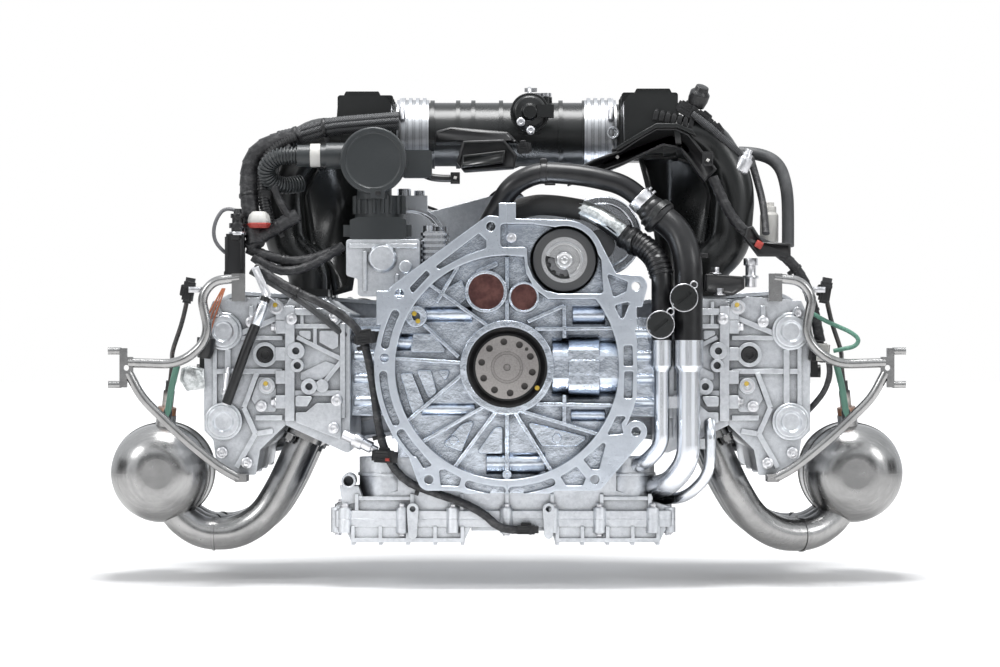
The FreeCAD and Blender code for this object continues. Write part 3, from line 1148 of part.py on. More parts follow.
LOOMS = {
    "main": (12.5, [
        (-150, 128, 342), (-202, 132, 338), (-252, 134, 334), (-284, 140, 323), (-320, 148, 316),
        (-352, 150, 300), (-362, 148, 268), (-357, 132, 211), (-348, 112, 168),
    ]),
    "taped": (7.5, [
        (-290, 118, 211), (-316, 118, 195), (-350, 118, 176), (-360, 116, 164), (-318, 112, 147),
        (-276, 112, 145), (-232, 110, 163),
    ]),
    "low": (5.5, [
        (-345, 60, 138), (-300, 50, 108), (-240, 45, 82), (-197, 43, 49), (-182, 43, -28), (-173, 43, -105),
        (-146, 43, -154), (-100, 44, -172), (-62, 42, -184), (-28, 39, -202), (-8, 38, -224), (24, 38, -222),
    ]),
    "right": (7.0, [
        (284, 86, 262), (300, 84, 222), (322, 82, 190), (352, 80, 170), (388, 80, 150), (412, 82, 116),
        (424, 84, 76), (432, 84, 34),
    ]),
    "vapour_hose": (8.5, [
        (326, 178, 300), (352, 176, 300), (382, 170, 286), (393, 164, 250), (394, 160, 206), (393, 152, 168),
    ]),
}


def control_box():
    """The relay box on its bracket under the crossover, with the harness that runs from it."""
    cover = plate([(-101, 315), (-100, 332), (-79, 338), (2, 331), (17, 315)], 205, 262, 3)
    case = plate([(-62, 320), (-70, 290), (-52, 274), (11, 276), (14, 296), (-4, 320)], 196, 232, 4)
    lid = plate([(-44, 279), (0, 279), (0, 298), (-44, 298)], 188, 197, 2)
    socket = plate([(14, 300), (30, 296), (32, 316), (16, 318)], 200, 222, 2)
    foot = box(-90, -60, 258, 286, 316, 330)
    whole = joined([cover, case, lid, socket, foot]).cut(parts["intake_crossover"])
    shelf = slab([(234, 60), (276, 60), (276, 96), (234, 96)], 150, 156, 4)
    return group([whole, shelf] + [swept(route, r) for r, route in LOOMS.values()])


def accessory_bracket(places):
    """A bridge over the timing cover that carries the generator, the idler and the compressor."""
    alternator, idler, compressor = (places[name] for name in ("alternator", "idler", "compressor"))
    bridge = joined([
        web(alternator, 34, idler, 24, 484, 500), web(compressor, 40, idler, 24, 484, 500),
        plate([(-150, 112), (150, 112), (120, 190), (-120, 190)], 484, 500, 8), rod_y(*idler, 20, 498, 514),
        box(-120, -70, 430, 492, 96, 126), box(70, 120, 430, 492, 96, 126),
    ])
    return bridge.cut([
        parts["crankcase_left"], parts["crankcase_right"], rod_y(*alternator, 14, 480, 502),
        rod_y(*compressor, 16, 480, 502), rod_y(*idler, 8 + RUNNING, 490, 516),
        plate([(-50, 144), (50, 144), (30, 180), (-30, 180)], 480, 505, 8),
    ])


def alternator(x, z):
    """A turned body with a clamping band and cooling slots round its rear half."""
    body = turned(x, z, [
        (0, 388, 0), (48, 388, 4), (48, 404, 0), (58, 404, 3), (58, 436, 0), (60, 436, 1), (60, 444, 1),
        (58, 444, 0), (58, 476, 3), (48, 476, 0), (48, 484, 2), (13.5, 484, 0), (13.5, 504, 1), (0, 504, 0),
    ])
    slot = box(x - 3, x + 3, 448, 472, z + 40, z + 80)
    slots = [slot.copy().rotate(V(x, 0, z), ALONG_Y, i * 30) for i in range(12)]
    return body.cut(slots + [rod_y(x, z, 8 + RUNNING, 470, 510)])


def compressor(x, z):
    """A turned body with its hose manifold on top."""
    body = turned(x, z, [
        (0, 372, 0), (46, 372, 5), (46, 400, 0), (52, 400, 2), (52, 484, 3), (15.5, 484, 0),
        (15.5, 504, 1), (0, 504, 0),
    ])
    manifold_block = box(x - 24, x + 24, 386, 420, z + 30, z + 68)
    ports = [rod_z(x - 10, 396, 10, z + 66, z + 78), rod_z(x + 12, 410, 8, z + 66, z + 76)]
    return joined([body, manifold_block] + ports).cut(rod_y(x, z, 9 + RUNNING, 470, 510))


def ribbed_pulley(x, z, r, shaft, shaft_start, y0, y1):
    """A belt pulley with five grooves and a dished face, on its shaft, with its nut."""
    wheel = turned(x, z, [
        (0, y0, 0), (r, y0, 1), (r, y1, 1), (r - 8, y1, 1), (r - 8, y1 - 8, 2), (15, y1 - 8, 2), (15, y1, 1),
        (0, y1, 0),
    ])
    grooves = [ring_y(x, z, r + 1, r - 1.6, y0 + 3.2 + 4 * i, y0 + 4.8 + 4 * i) for i in range(5)]
    nut = hex_bolt(x, y1 - 0.5, z, 10, 6, ALONG_Y)
    return joined([wheel.cut(grooves), rod_y(x, z, shaft, shaft_start, y0 + 2), nut])


def crank_pulley(front, y0, y1):
    """The crankshaft's pulley and damper, with its six windows and big bolt."""
    x, z, r, _ = PULLEYS["crank"]
    damper = joined([rod_y(x, z, r, y0, y1), rod_y(x, z, 30, front + 7, y1 + 2)])
    windows = [rod_y(px, pz, 9, y0 - 1, y1 + 1) for px, pz in circle_places(x, z, 48, 6)]
    damper = damper.cut(windows + [ring_y(x, z, 66, 62, y1 - 3, y1 + 2)])
    return damper.cut(rod_y(x, z, NOSE_R, front, BELT_Y + 12)).fuse(hex_bolt(x, y1 + 1, z, 17, 12, ALONG_Y))


def tensioner(front, y0, y1):
    """The sprung arm on its pin, and its smooth pulley. The pin stays with the timing cover."""
    x, z, r, _ = PULLEYS["tensioner"]
    pivot = (-252.0, 4.0)
    arm = joined([web(pivot, 22, (x, z), 15, front + 6, y0 - 1), rod_y(x, z, 9, y0 - 2, y1 - 2),
                  rod_y(*pivot, 27, front + 0.1, y0 + 8)])
    screw = hex_bolt(pivot[0], y0 + 8.1, pivot[1], 13, 6, ALONG_Y)
    pin = rod_y(*pivot, 9, front - 1, y0 + 8.1).fuse(screw)
    wheel = rod_y(x, z, r, y0, y1).cut(rod_y(x, z, 9 + RUNNING, y0 - 1, y1 - 1.9))
    return arm.cut(rod_y(*pivot, 9 + RUNNING, front - 1, y0 + 12)), wheel, pin


def accessories():
    """Belt-driven pumps and generator on a bridge over the timing cover."""
    front = CASE_END + CHAIN_COVER_T
    b0, b1 = BELT_Y - BELT_W / 2, BELT_Y + BELT_W / 2
    places = {name: (x, z) for name, (x, z, _, _) in PULLEYS.items()}
    parts["accessory_bracket"] = accessory_bracket(places)
    parts["alternator"] = alternator(*places["alternator"])
    parts["ac_compressor"] = compressor(*places["compressor"])
    shafts = {"alternator": (8, 474), "compressor": (9, 474), "water_pump": (8, front + 1)}
    for name, (shaft, start) in shafts.items():
        x, z, r, _ = PULLEYS[name]
        parts[f"{name}_pulley"] = ribbed_pulley(x, z, r, shaft, start, b0, b1)
    parts["crank_pulley"] = crank_pulley(front, b0, b1)
    x, z, r, _ = PULLEYS["idler"]
    parts["idler_pulley"] = turned(x, z, [
        (0, 492, 0), (8, 492, 1), (8, b0 - 3, 0), (12, b0 - 3, 0), (12, b0, 0), (r, b0, 1), (r, b1, 1),
        (r - 7, b1, 1), (r - 7, b1 - 6, 2), (13, b1 - 6, 2), (13, b1 + 3, 1), (0, b1 + 3, 0),
    ])
    parts["tensioner_arm"], parts["tensioner_pulley"], pin = tensioner(front, b0, b1)
    x, z = places["water_pump"]
    pump = rod_y(x, z, 44, front - 1, front + 8)
    outlet = web((x, z), 20, (x - 52, z - 18), 12, front - 1, front + 7)
    shaft_bore = rod_y(x, z, 8 + RUNNING, front + 0.5, front + 20)
    parts["timing_cover"] = joined([parts["timing_cover"], pin, pump, outlet]).cut(shaft_bore)
    order = ("crank", "alternator", "idler", "compressor", "tensioner", "water_pump")
    parts["drive_belt"] = band([PULLEYS[name] for name in order], BELT_T, BELT_GAP, b0 + 1.5, b1 - 1.5)


def build():
    crankcase()
    crankshaft()
    pistons()
    cylinder_heads()
    cam_covers()
    camshafts()
    timing_drive()
    oil_sump()
    exhaust()
    starter()
    cooling()
    oil_filter()
    intake()
    parts["control_box"] = control_box()
    accessories()


def export():
    os.makedirs("parts", exist_ok=True)
    for name, shape in parts.items():
        shape.exportStep(f"parts/{name}.step")


build()
export()
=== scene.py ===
import bmesh
import bpy
import json
import math
from mathutils import Euler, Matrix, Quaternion, Vector


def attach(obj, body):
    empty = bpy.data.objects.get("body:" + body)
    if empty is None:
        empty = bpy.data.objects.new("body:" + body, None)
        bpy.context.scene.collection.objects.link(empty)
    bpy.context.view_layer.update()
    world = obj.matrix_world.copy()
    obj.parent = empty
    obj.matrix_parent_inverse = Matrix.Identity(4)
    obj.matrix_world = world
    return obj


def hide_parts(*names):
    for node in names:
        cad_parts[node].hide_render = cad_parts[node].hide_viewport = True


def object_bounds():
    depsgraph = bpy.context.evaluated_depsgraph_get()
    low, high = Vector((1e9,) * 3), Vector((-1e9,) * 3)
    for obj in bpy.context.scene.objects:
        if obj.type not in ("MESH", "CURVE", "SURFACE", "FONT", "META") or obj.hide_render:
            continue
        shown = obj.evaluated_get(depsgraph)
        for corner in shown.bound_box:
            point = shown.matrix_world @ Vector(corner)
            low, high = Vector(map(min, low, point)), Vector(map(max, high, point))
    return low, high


# Sizes and places of the pieces are in millimetres, and Blender's own are in metres.
MM = 0.001
CAMERA_DISTANCE = 4.8
CAMERA_PLACE = (-0.0095, -CAMERA_DISTANCE, 0.046)
SENSOR = 36.0
VIEW_WIDTH = 1.355
FLOOR_GAP = 0.042
FLOOR_SIZE = 40.0
PAPER_GLOW = 0.16
CLOUD_SIZE = 0.05
CUT_LINE = 0.0006
WELD = 0.00001
RING_WELD = 0.00002
HOSE_SIDES = 24
SMOOTH_ANGLE = math.radians(40)
RING_SMOOTH_ANGLE = math.radians(50)
FACING = 0.9
FACING_SQUARELY = 0.95
TAPE_TURN = 12.0
TIE_WIDTH = 4.5
WASHER_TOP = 1.2
TOWARDS_CAMERA = (0, -1, 0)
UP = (0, 0, 1)
DOWN = (0, 0, -1)
LEFT = -1
RIGHT = 1
BANKS = {LEFT: "left", RIGHT: "right"}
HEAD_FRONT = {RIGHT: 70.0, LEFT: 80.0}
WEB_AND_SHADE_FRONT = {RIGHT: 242.0, LEFT: 301.0}

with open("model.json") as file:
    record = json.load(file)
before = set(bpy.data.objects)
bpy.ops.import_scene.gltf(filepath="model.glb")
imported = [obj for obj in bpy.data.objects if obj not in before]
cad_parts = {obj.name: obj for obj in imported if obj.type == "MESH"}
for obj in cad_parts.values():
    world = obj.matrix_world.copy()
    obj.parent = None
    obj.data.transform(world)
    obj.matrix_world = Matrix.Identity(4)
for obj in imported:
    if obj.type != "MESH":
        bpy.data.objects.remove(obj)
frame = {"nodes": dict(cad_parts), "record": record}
cad_box = [list(corner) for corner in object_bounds()]
nodes = frame["nodes"]


class Wire:
    """A socket that can be used in Python expressions; each operator adds its Math node."""

    def __init__(self, board, socket):
        self.board = board
        self.socket = socket

    def _maths(self, operation, first, second):
        node = self.board.add("ShaderNodeMath", {"operation": operation})
        self.board.plug(node.inputs[0], first)
        self.board.plug(node.inputs[1], second)
        return Wire(self.board, node.outputs[0])

    def __add__(self, other):
        return self._maths("ADD", self, other)

    def __radd__(self, other):
        return self._maths("ADD", other, self)

    def __sub__(self, other):
        return self._maths("SUBTRACT", self, other)

    def __rsub__(self, other):
        return self._maths("SUBTRACT", other, self)

    def __mul__(self, other):
        return self._maths("MULTIPLY", self, other)

    def __rmul__(self, other):
        return self._maths("MULTIPLY", other, self)

    def __truediv__(self, other):
        return self._maths("DIVIDE", self, other)

    def __pow__(self, other):
        return self._maths("POWER", self, other)

    def __abs__(self):
        return self._maths("ABSOLUTE", self, 0.0)

    def sine(self):
        return self._maths("SINE", self, 0.0)

    def most(self, other):
        return self._maths("MAXIMUM", self, other)

    def between(self, low, high):
        """0 below low and 1 above high, smoothly in between."""
        node = self.board.add("ShaderNodeMapRange", {"interpolation_type": "SMOOTHSTEP"},
                              Value=self, From_Min=low, From_Max=high)
        return Wire(self.board, node.outputs["Result"])


class Board:
    """A node tree that is put together from expressions. In a socket's name, _ stands for a space."""

    def __init__(self, tree):
        self.tree = tree
        self.tree.nodes.clear()

    def plug(self, socket, value):
        if isinstance(value, Wire):
            self.tree.links.new(value.socket, socket)
        else:
            socket.default_value = value

    def add(self, kind, settings=None, **sockets):
        node = self.tree.nodes.new(kind)
        for name, value in (settings or {}).items():
            setattr(node, name, value)
        for name, value in sockets.items():
            self.plug(node.inputs[name.replace("_", " ")], value)
        return node

    def blend(self, amount, low, high):
        node = self.add("ShaderNodeMix", {"data_type": "RGBA"}, Factor=amount)
        self.plug(node.inputs[6], low if isinstance(low, Wire) else (*low, 1.0))
        self.plug(node.inputs[7], high if isinstance(high, Wire) else (*high, 1.0))
        return Wire(self, node.outputs[2])

    def mirrored(self, rays):
        """1 for a ray that comes by way of metal or glass, from a Light Path node."""
        return Wire(self, rays.outputs["Is Glossy Ray"]).most(Wire(self, rays.outputs["Is Transmission Ray"]))


class Finish(Board):
    """A material and the patterns that its surface is made of."""

    def __init__(self, name):
        self.material = bpy.data.materials.new(name)
        self.material.use_nodes = True
        super().__init__(self.material.node_tree)
        self.surface = self.add("ShaderNodeBsdfPrincipled")
        self.add("ShaderNodeOutputMaterial", Surface=Wire(self, self.surface.outputs[0]))
        self.place = Wire(self, self.add("ShaderNodeTexCoord").outputs["Object"])
        axes = self.add("ShaderNodeSeparateXYZ", Vector=self.place)
        self.x, self.y, self.z = (Wire(self, axes.outputs[i]) for i in range(3))

    def noise(self, size, detail=3.0, roughness=0.5, stretch=None):
        """Noise from 0 to 1, its features about as large as size in metres."""
        place = self.place
        if stretch:
            mapping = self.add("ShaderNodeMapping", Vector=place, Scale=stretch)
            place = Wire(self, mapping.outputs[0])
        node = self.add("ShaderNodeTexNoise", Vector=place, Scale=0.5 / size, Detail=detail,
                        Roughness=roughness)
        return Wire(self, node.outputs["Fac"])

    def cavity(self, reach):
        """1 on open surfaces, falling towards 0 in pockets and corners within reach metres; it paints shade
        into colours.
        """
        node = self.add("ShaderNodeAmbientOcclusion", {"samples": 6}, Distance=reach)
        return Wire(self, node.outputs["AO"])

    def bump(self, height, depth, strength=1.0, edge=0.0):
        """Normals for a height pattern; edge is the radius that sharp edges and corners seem to have."""
        node = self.add("ShaderNodeBump", Height=height, Distance=depth, Strength=strength)
        if edge:
            rounded = self.add("ShaderNodeBevel", {"samples": 4}, Radius=edge)
            self.plug(node.inputs["Normal"], Wire(self, rounded.outputs[0]))
        return Wire(self, node.outputs[0])

    def wear(self, **sockets):
        for name, value in sockets.items():
            self.plug(self.surface.inputs[name.replace("_", " ")], value)
        return self.material


def cast_metal(name, light, dark, rough=(0.34, 0.52), grain=0.0022, depth=0.0003, metal=0.9, swell=0.0006,
               edge=0.0016, reach=0.020, cut_at=None):
    """Cast light alloy: grain, stains, a slow swell, rounded edges, painted shade in corners and pockets, and
    smooth cut faces.
    """
    f = Finish(name)
    stain = f.noise(0.06, 4.0, 0.6)
    speckle = f.noise(grain, 4.0, 0.65)
    waves = f.noise(0.016, 2.0, 0.5)
    colour = f.blend((stain * 0.6 + speckle * 0.4).between(0.34, 0.66), dark, light)
    roughness = rough[0] + (rough[1] - rough[0]) * (speckle * 0.6 + stain * 0.4)
    height = speckle * depth + waves * swell
    if cut_at is not None:
        cast = f.y.between(cut_at - CUT_LINE, cut_at + CUT_LINE)
        rings = f.noise(0.0008, 2.0, 0.5, (1.0, 0.02, 1.0))
        colour = f.blend(cast, tuple(c * 0.86 for c in light), colour)
        roughness = roughness * cast + (0.34 + 0.10 * rings) * (1.0 - cast)
        height = height * cast
    # Painted shade: ambient occlusion darkens the colour towards near black in corners and pockets.
    painted_shade = 1.0 - f.cavity(reach).between(0.15, 0.8)
    colour = f.blend(painted_shade * 0.85, colour, tuple(c * 0.12 for c in dark))
    return f.wear(Base_Color=colour, Metallic=metal, Roughness=roughness,
                  Normal=f.bump(height, 1.0, 0.9, edge))


def drawn_metal(name, light, dark, stretch=(0.05, 1.0, 1.0), rough=0.3, metal=1.0, swell=0.0002, reach=0.024):
    """Drawn or brushed sheet and tube, its marks pulled out one way, with painted shade in its hollows."""
    f = Finish(name)
    marks = f.noise(0.0012, 3.0, 0.6, stretch)
    cloud = f.noise(CLOUD_SIZE, 3.0, 0.5)
    colour = f.blend((marks * 0.4 + cloud * 0.6).between(0.3, 0.7), dark, light)
    # Painted shade: ambient occlusion darkens the colour in hollows and corners.
    painted_shade = 1.0 - f.cavity(reach).between(0.25, 0.85)
    colour = f.blend(painted_shade * 0.7, colour, tuple(c * 0.15 for c in dark))
    height = marks * 0.00008 + cloud * swell
    return f.wear(Base_Color=colour, Metallic=metal, Roughness=rough - 0.06 + 0.14 * marks,
                  Normal=f.bump(height, 1.0, 0.6))


def turned_metal(name, light, dark, middle, bright_radius, rough=0.24):
    """A lathe-turned face, fine rings centred on middle, with a dull dark rim outside bright_radius and
    painted shade in its pockets.
    """
    f = Finish(name)
    gap_x = f.x - middle[0] * MM
    gap_z = f.z - middle[1] * MM
    reach = (gap_x * gap_x + gap_z * gap_z) ** 0.5
    rings = (reach * 9000.0).sine() * 0.5 + 0.5
    cloud = f.noise(0.02, 3.0, 0.5)
    colour = f.blend((rings * 0.3 + cloud * 0.7).between(0.25, 0.75), dark, light)
    rim = reach.between(bright_radius * MM - 0.0005, bright_radius * MM + 0.0005)
    colour = f.blend(rim, colour, tuple(c * 0.20 for c in dark))
    # Painted shade: ambient occlusion darkens the colour to near black in pockets.
    painted_shade = 1.0 - f.cavity(0.016).between(0.15, 0.85)
    return f.wear(Base_Color=f.blend(painted_shade * 0.9, colour, (0.02, 0.02, 0.02)), Metallic=1.0,
                  Roughness=rough - 0.05 + 0.12 * rings + 0.2 * rim,
                  Normal=f.bump(rings, 0.00004, 0.5, 0.001))


def moulded_plastic(name, colour, lift=0.012, rough=0.34, grain=0.0012):
    """Glass-filled moulding with a fine spark-eroded grain and dull patches."""
    f = Finish(name)
    fine = f.noise(grain, 3.0, 0.6)
    cloud = f.noise(CLOUD_SIZE, 3.0, 0.5)
    pale = tuple(c + lift for c in colour)
    return f.wear(Base_Color=f.blend(cloud.between(0.35, 0.7) * 0.7 + fine * 0.3, colour, pale), Metallic=0.0,
                  Roughness=rough - 0.06 + 0.12 * cloud + 0.06 * fine, Normal=f.bump(fine, 0.0002, 0.4))


def rubber(name, colour=(0.006, 0.006, 0.007), bloom=0.014, rough=0.30):
    """Hose rubber with a dusty bloom."""
    f = Finish(name)
    dust = f.noise(0.02, 4.0, 0.6)
    fine = f.noise(0.0015, 2.0, 0.5)
    pale = tuple(c + bloom for c in colour)
    return f.wear(Base_Color=f.blend(dust.between(0.42, 0.72), colour, pale), Metallic=0.0,
                  Roughness=rough - 0.05 + 0.16 * dust, Normal=f.bump(fine, 0.00015, 0.4))


def woven(name, colour, pale, pitch=0.0016, rough=0.6):
    """Textile or braided sleeving: two crossing sets of threads."""
    f = Finish(name)
    one = ((f.x + f.z) * (math.pi / pitch)).sine() * 0.5 + 0.5
    two = ((f.x - f.z + f.y) * (math.pi / pitch)).sine() * 0.5 + 0.5
    threads = one * two
    worn = f.noise(0.012, 3.0, 0.6)
    return f.wear(Base_Color=f.blend(threads * 0.7 + worn * 0.3, colour, pale), Metallic=0.0,
                  Roughness=rough - 0.08 + 0.16 * worn, Normal=f.bump(threads, 0.0005, 0.9))


def taped(name, colour=(0.016, 0.016, 0.018)):
    """Fabric tape: creases across and a fine weave."""
    f = Finish(name)
    creases = f.noise(0.006, 4.0, 0.7, (1.0, 0.5, 1.6))
    weave = f.noise(0.0009, 2.0, 0.5)
    pale = tuple(c + 0.085 for c in colour)
    return f.wear(Base_Color=f.blend(creases.between(0.42, 0.78), colour, pale), Metallic=0.0,
                  Roughness=0.36 + 0.2 * creases, Normal=f.bump(creases * 0.8 + weave * 0.2, 0.0016, 0.9))


def primed_plug(name):
    """Red-brown core plugs, rubbed duller in places."""
    f = Finish(name)
    mottle = f.noise(0.006, 4.0, 0.6)
    return f.wear(Base_Color=f.blend(mottle.between(0.3, 0.7), (0.075, 0.026, 0.024), (0.16, 0.066, 0.056)),
                  Metallic=0.35, Roughness=0.36 + 0.16 * mottle, Normal=f.bump(mottle, 0.0002, 0.4))


def sensor_metal(name):
    """A steel sensor, heat-tinted copper towards the exhaust and black where its lead begins."""
    f = Finish(name)
    scorch = f.noise(0.005, 4.0, 0.6)
    colour = f.blend(f.z.between(-0.066, -0.050), (0.42, 0.20, 0.11), (0.50, 0.47, 0.44))
    colour = f.blend(f.z.between(-0.044, -0.034), colour, (0.02, 0.022, 0.022))
    metal = 1.0 - f.z.between(-0.044, -0.034)
    return f.wear(Base_Color=f.blend(scorch.between(0.4, 0.7) * 0.5, colour, (0.10, 0.07, 0.06)),
                  Metallic=metal, Roughness=0.30 + 0.2 * scorch, Normal=f.bump(scorch, 0.0002, 0.4))


def mottled_foil(name):
    """Heat-shield sheet with a dull crystal mottle."""
    f = Finish(name)
    crystals = f.noise(0.004, 5.0, 0.75)
    return f.wear(Base_Color=f.blend(crystals.between(0.4, 0.6), (0.36, 0.38, 0.38), (0.66, 0.68, 0.68)),
                  Metallic=0.9, Roughness=0.3 + 0.25 * crystals, Normal=f.bump(crystals, 0.0003, 0.5))


bell_alloy = cast_metal("bell_alloy", (0.78, 0.83, 0.90), (0.60, 0.65, 0.73), (0.12, 0.24), metal=1.0,
                        swell=0.0014, edge=0.0024, reach=0.014, cut_at=0.0)
head_alloy = cast_metal("head_alloy", (0.80, 0.82, 0.85), (0.58, 0.60, 0.63), (0.26, 0.44), grain=0.0028,
                        metal=0.9, swell=0.0009)
pipe_alloy = drawn_metal("pipe_alloy", (0.86, 0.88, 0.91), (0.74, 0.76, 0.80), (1.0, 1.0, 0.06), 0.24)
sleeve_alloy = drawn_metal("sleeve_alloy", (0.56, 0.57, 0.59), (0.44, 0.45, 0.47), (1.0, 1.0, 0.06), 0.36)
header_steel = drawn_metal("header_steel", (0.43, 0.425, 0.42), (0.29, 0.288, 0.285), (0.15, 1.0, 0.15), 0.24)
machined_steel = drawn_metal("machined_steel", (0.66, 0.66, 0.67), (0.48, 0.48, 0.50), (1.0, 0.05, 1.0), 0.28)
forged_steel = drawn_metal("forged_steel", (0.52, 0.49, 0.47), (0.34, 0.32, 0.31), (1.0, 0.2, 1.0), 0.30)
fastener_steel = drawn_metal("fastener_steel", (0.78, 0.78, 0.80), (0.60, 0.60, 0.62), (1.0, 1.0, 1.0), 0.30,
                             swell=0.0, reach=0.005)
starter_face = turned_metal("starter_face", (0.80, 0.80, 0.80), (0.60, 0.60, 0.61), (78.0, 146.0), 31.0)
intake_plastic = moulded_plastic("intake_plastic", (0.009, 0.010, 0.010), 0.010, rough=0.26)
box_plastic = moulded_plastic("box_plastic", (0.009, 0.009, 0.010), 0.012, rough=0.34)
# Painted sheen: this plastic is paler than the other black mouldings partly as a greyer grained plastic,
# partly to stand for the satin sheen on the separator cap.
grained_sheen_plastic = moulded_plastic("grained_sheen_plastic", (0.028, 0.032, 0.034), 0.022, rough=0.36, grain=0.0024)
white_plastic = moulded_plastic("white_plastic", (0.62, 0.61, 0.58), 0.08, 0.4)
red_plastic = moulded_plastic("red_plastic", (0.42, 0.030, 0.018), 0.05, 0.35)
green_sleeve = moulded_plastic("green_sleeve", (0.10, 0.26, 0.19), 0.07, 0.45)
copper_wire = moulded_plastic("copper_wire", (0.36, 0.10, 0.03), 0.06, 0.4)
grey_wire = moulded_plastic("grey_wire", (0.13, 0.13, 0.14), 0.05, 0.45)
yellow_paint = moulded_plastic("yellow_paint", (0.62, 0.42, 0.03), 0.08, 0.5, 0.003)
hose_rubber = rubber("hose_rubber")
grey_rubber = rubber("grey_rubber", (0.055, 0.057, 0.060), 0.06, 0.5)
loom_tape = taped("loom_tape")
braid = woven("braid", (0.010, 0.010, 0.012), (0.15, 0.155, 0.16))
textile = woven("textile", (0.020, 0.020, 0.020), (0.085, 0.082, 0.078), 0.0011, 0.75)
plug_primer = primed_plug("plug_primer")
sensor_steel = sensor_metal("sensor_steel")
shield_foil = mottled_foil("shield_foil")
dark_housing = cast_metal("dark_housing", (0.16, 0.16, 0.17), (0.08, 0.08, 0.085), (0.30, 0.46), metal=0.7)

by_slot = {
    "bright_casting": bell_alloy, "casting": head_alloy, "aluminium": pipe_alloy, "stainless": header_steel,
    "steel": machined_steel, "forged_steel": forged_steel, "plug_brown": plug_primer,
    "black_plastic": intake_plastic, "rubber": hose_rubber, "dark_metal": dark_housing,
}
by_node = {
    "crossover_sleeves": sleeve_alloy, "oxygen_sensors": sensor_steel, "starter_motor": starter_face,
    "oil_separator": grained_sheen_plastic,
}


def dress_solids():
    """Every node of the frame gets its finish."""
    slot_of = {part["node"]: part["material_slot"] for part in frame["record"]["subparts"]}
    for name, node in nodes.items():
        for slot in node.material_slots:
            slot.material = by_node.get(name, by_slot[slot_of[name]])


def alone():
    """Leaves edit mode with nothing selected, so that the next operator acts on new work only."""
    if bpy.context.mode != "OBJECT":
        bpy.ops.object.mode_set(mode="OBJECT")
    bpy.ops.object.select_all(action="DESELECT")


def hold(piece):
    """Makes a piece the only one selected."""
    alone()
    piece.select_set(True)
    bpy.context.view_layer.objects.active = piece


def facing(way, least=FACING):
    """A test for faces whose normal's share along way is over least."""
    return lambda at, n: n.dot(Vector(way)) > least


front_faces = facing(TOWARDS_CAMERA)
flat_front = facing(TOWARDS_CAMERA, FACING_SQUARELY)
top_faces = facing(UP)
bottom_faces = facing(DOWN)
right_faces = facing((1, 0, 0))
left_faces = facing((-1, 0, 0))


def pick(test):
    """In edit mode, selects the faces whose middle (in millimetres) and normal pass the test."""
    mesh = bmesh.from_edit_mesh(bpy.context.object.data)
    for face in mesh.faces:
        face.select_set(False)
    for face in mesh.faces:
        if test(face.calc_center_median() / MM, face.normal):
            face.select_set(True)
    bmesh.update_edit_mesh(bpy.context.object.data)


def press(piece, test, inset, depth):
    """Insets the faces that pass the test and pulls them out by depth, or sinks them if it is negative."""
    hold(piece)
    bpy.ops.object.mode_set(mode="EDIT")
    bpy.ops.mesh.select_mode(type="FACE")
    pick(test)
    mesh = bmesh.from_edit_mesh(piece.data)
    way = sum((face.normal for face in mesh.faces if face.select), Vector()).normalized()
    if inset:
        bpy.ops.mesh.inset(thickness=inset * MM, depth=0.0)
    bpy.ops.mesh.extrude_region_move(TRANSFORM_OT_translate={"value": way * depth * MM})
    alone()


def soften(piece, width, segments=2, angle=35.0):
    """Rounds the edges that are sharper than angle, with a Bevel modifier that is applied."""
    hold(piece)
    bpy.ops.object.modifier_add(type="BEVEL")
    bevel = piece.modifiers[-1]
    bevel.width = width * MM
    bevel.segments = segments
    bevel.limit_method = "ANGLE"
    bevel.angle_limit = math.radians(angle)
    bpy.ops.object.modifier_apply(modifier=bevel.name)
    bpy.ops.object.shade_smooth_by_angle(angle=SMOOTH_ANGLE)
    return piece


def turn_up(profile, sides=32, edge=0.4):
    """A round piece that stands on +Z, drawn up from a disc through (height, radius) steps."""
    alone()
    height, radius = profile[0]
    bpy.ops.mesh.primitive_circle_add(vertices=sides, radius=radius * MM, fill_type="NGON",
                                      location=(0, 0, height * MM))
    bpy.ops.object.transform_apply(location=True, rotation=True, scale=True)
    piece = bpy.context.object
    bpy.ops.object.mode_set(mode="EDIT")
    bpy.ops.mesh.select_all(action="SELECT")
    for next_height, next_radius in profile[1:]:
        rise = (next_height - height) * MM
        bpy.ops.mesh.extrude_region_move(TRANSFORM_OT_translate={"value": (0, 0, rise)})
        growth = next_radius / radius
        bpy.ops.transform.resize(value=(growth, growth, 1), center_override=(0, 0, next_height * MM))
        height, radius = next_height, next_radius
    bpy.ops.mesh.select_all(action="SELECT")
    bpy.ops.mesh.normals_make_consistent(inside=False)
    alone()
    return soften(piece, edge) if edge else piece


def block(size):
    """A block about the origin, to be pressed and softened into a housing."""
    alone()
    bpy.ops.mesh.primitive_cube_add(size=1)
    piece = bpy.context.object
    piece.scale = Vector(size) * MM
    bpy.ops.object.transform_apply(location=True, rotation=True, scale=True)
    return piece


def slab(outline, y0, y1, edge=1.5):
    """A moulding with an outline of (x, z) corners, pulled back from y0 to y1."""
    alone()
    bpy.ops.mesh.primitive_circle_add(vertices=len(outline), radius=MM, fill_type="NGON")
    piece = bpy.context.object
    for vertex, (x, z) in zip(piece.data.vertices, outline):
        vertex.co = Vector((x, y0, z)) * MM
    bpy.ops.object.mode_set(mode="EDIT")
    bpy.ops.mesh.select_all(action="SELECT")
    bpy.ops.mesh.extrude_region_move(TRANSFORM_OT_translate={"value": (0, (y1 - y0) * MM, 0)})
    bpy.ops.mesh.select_all(action="SELECT")
    bpy.ops.mesh.normals_make_consistent(inside=False)
    alone()
    return soften(piece, edge, 3) if edge else piece


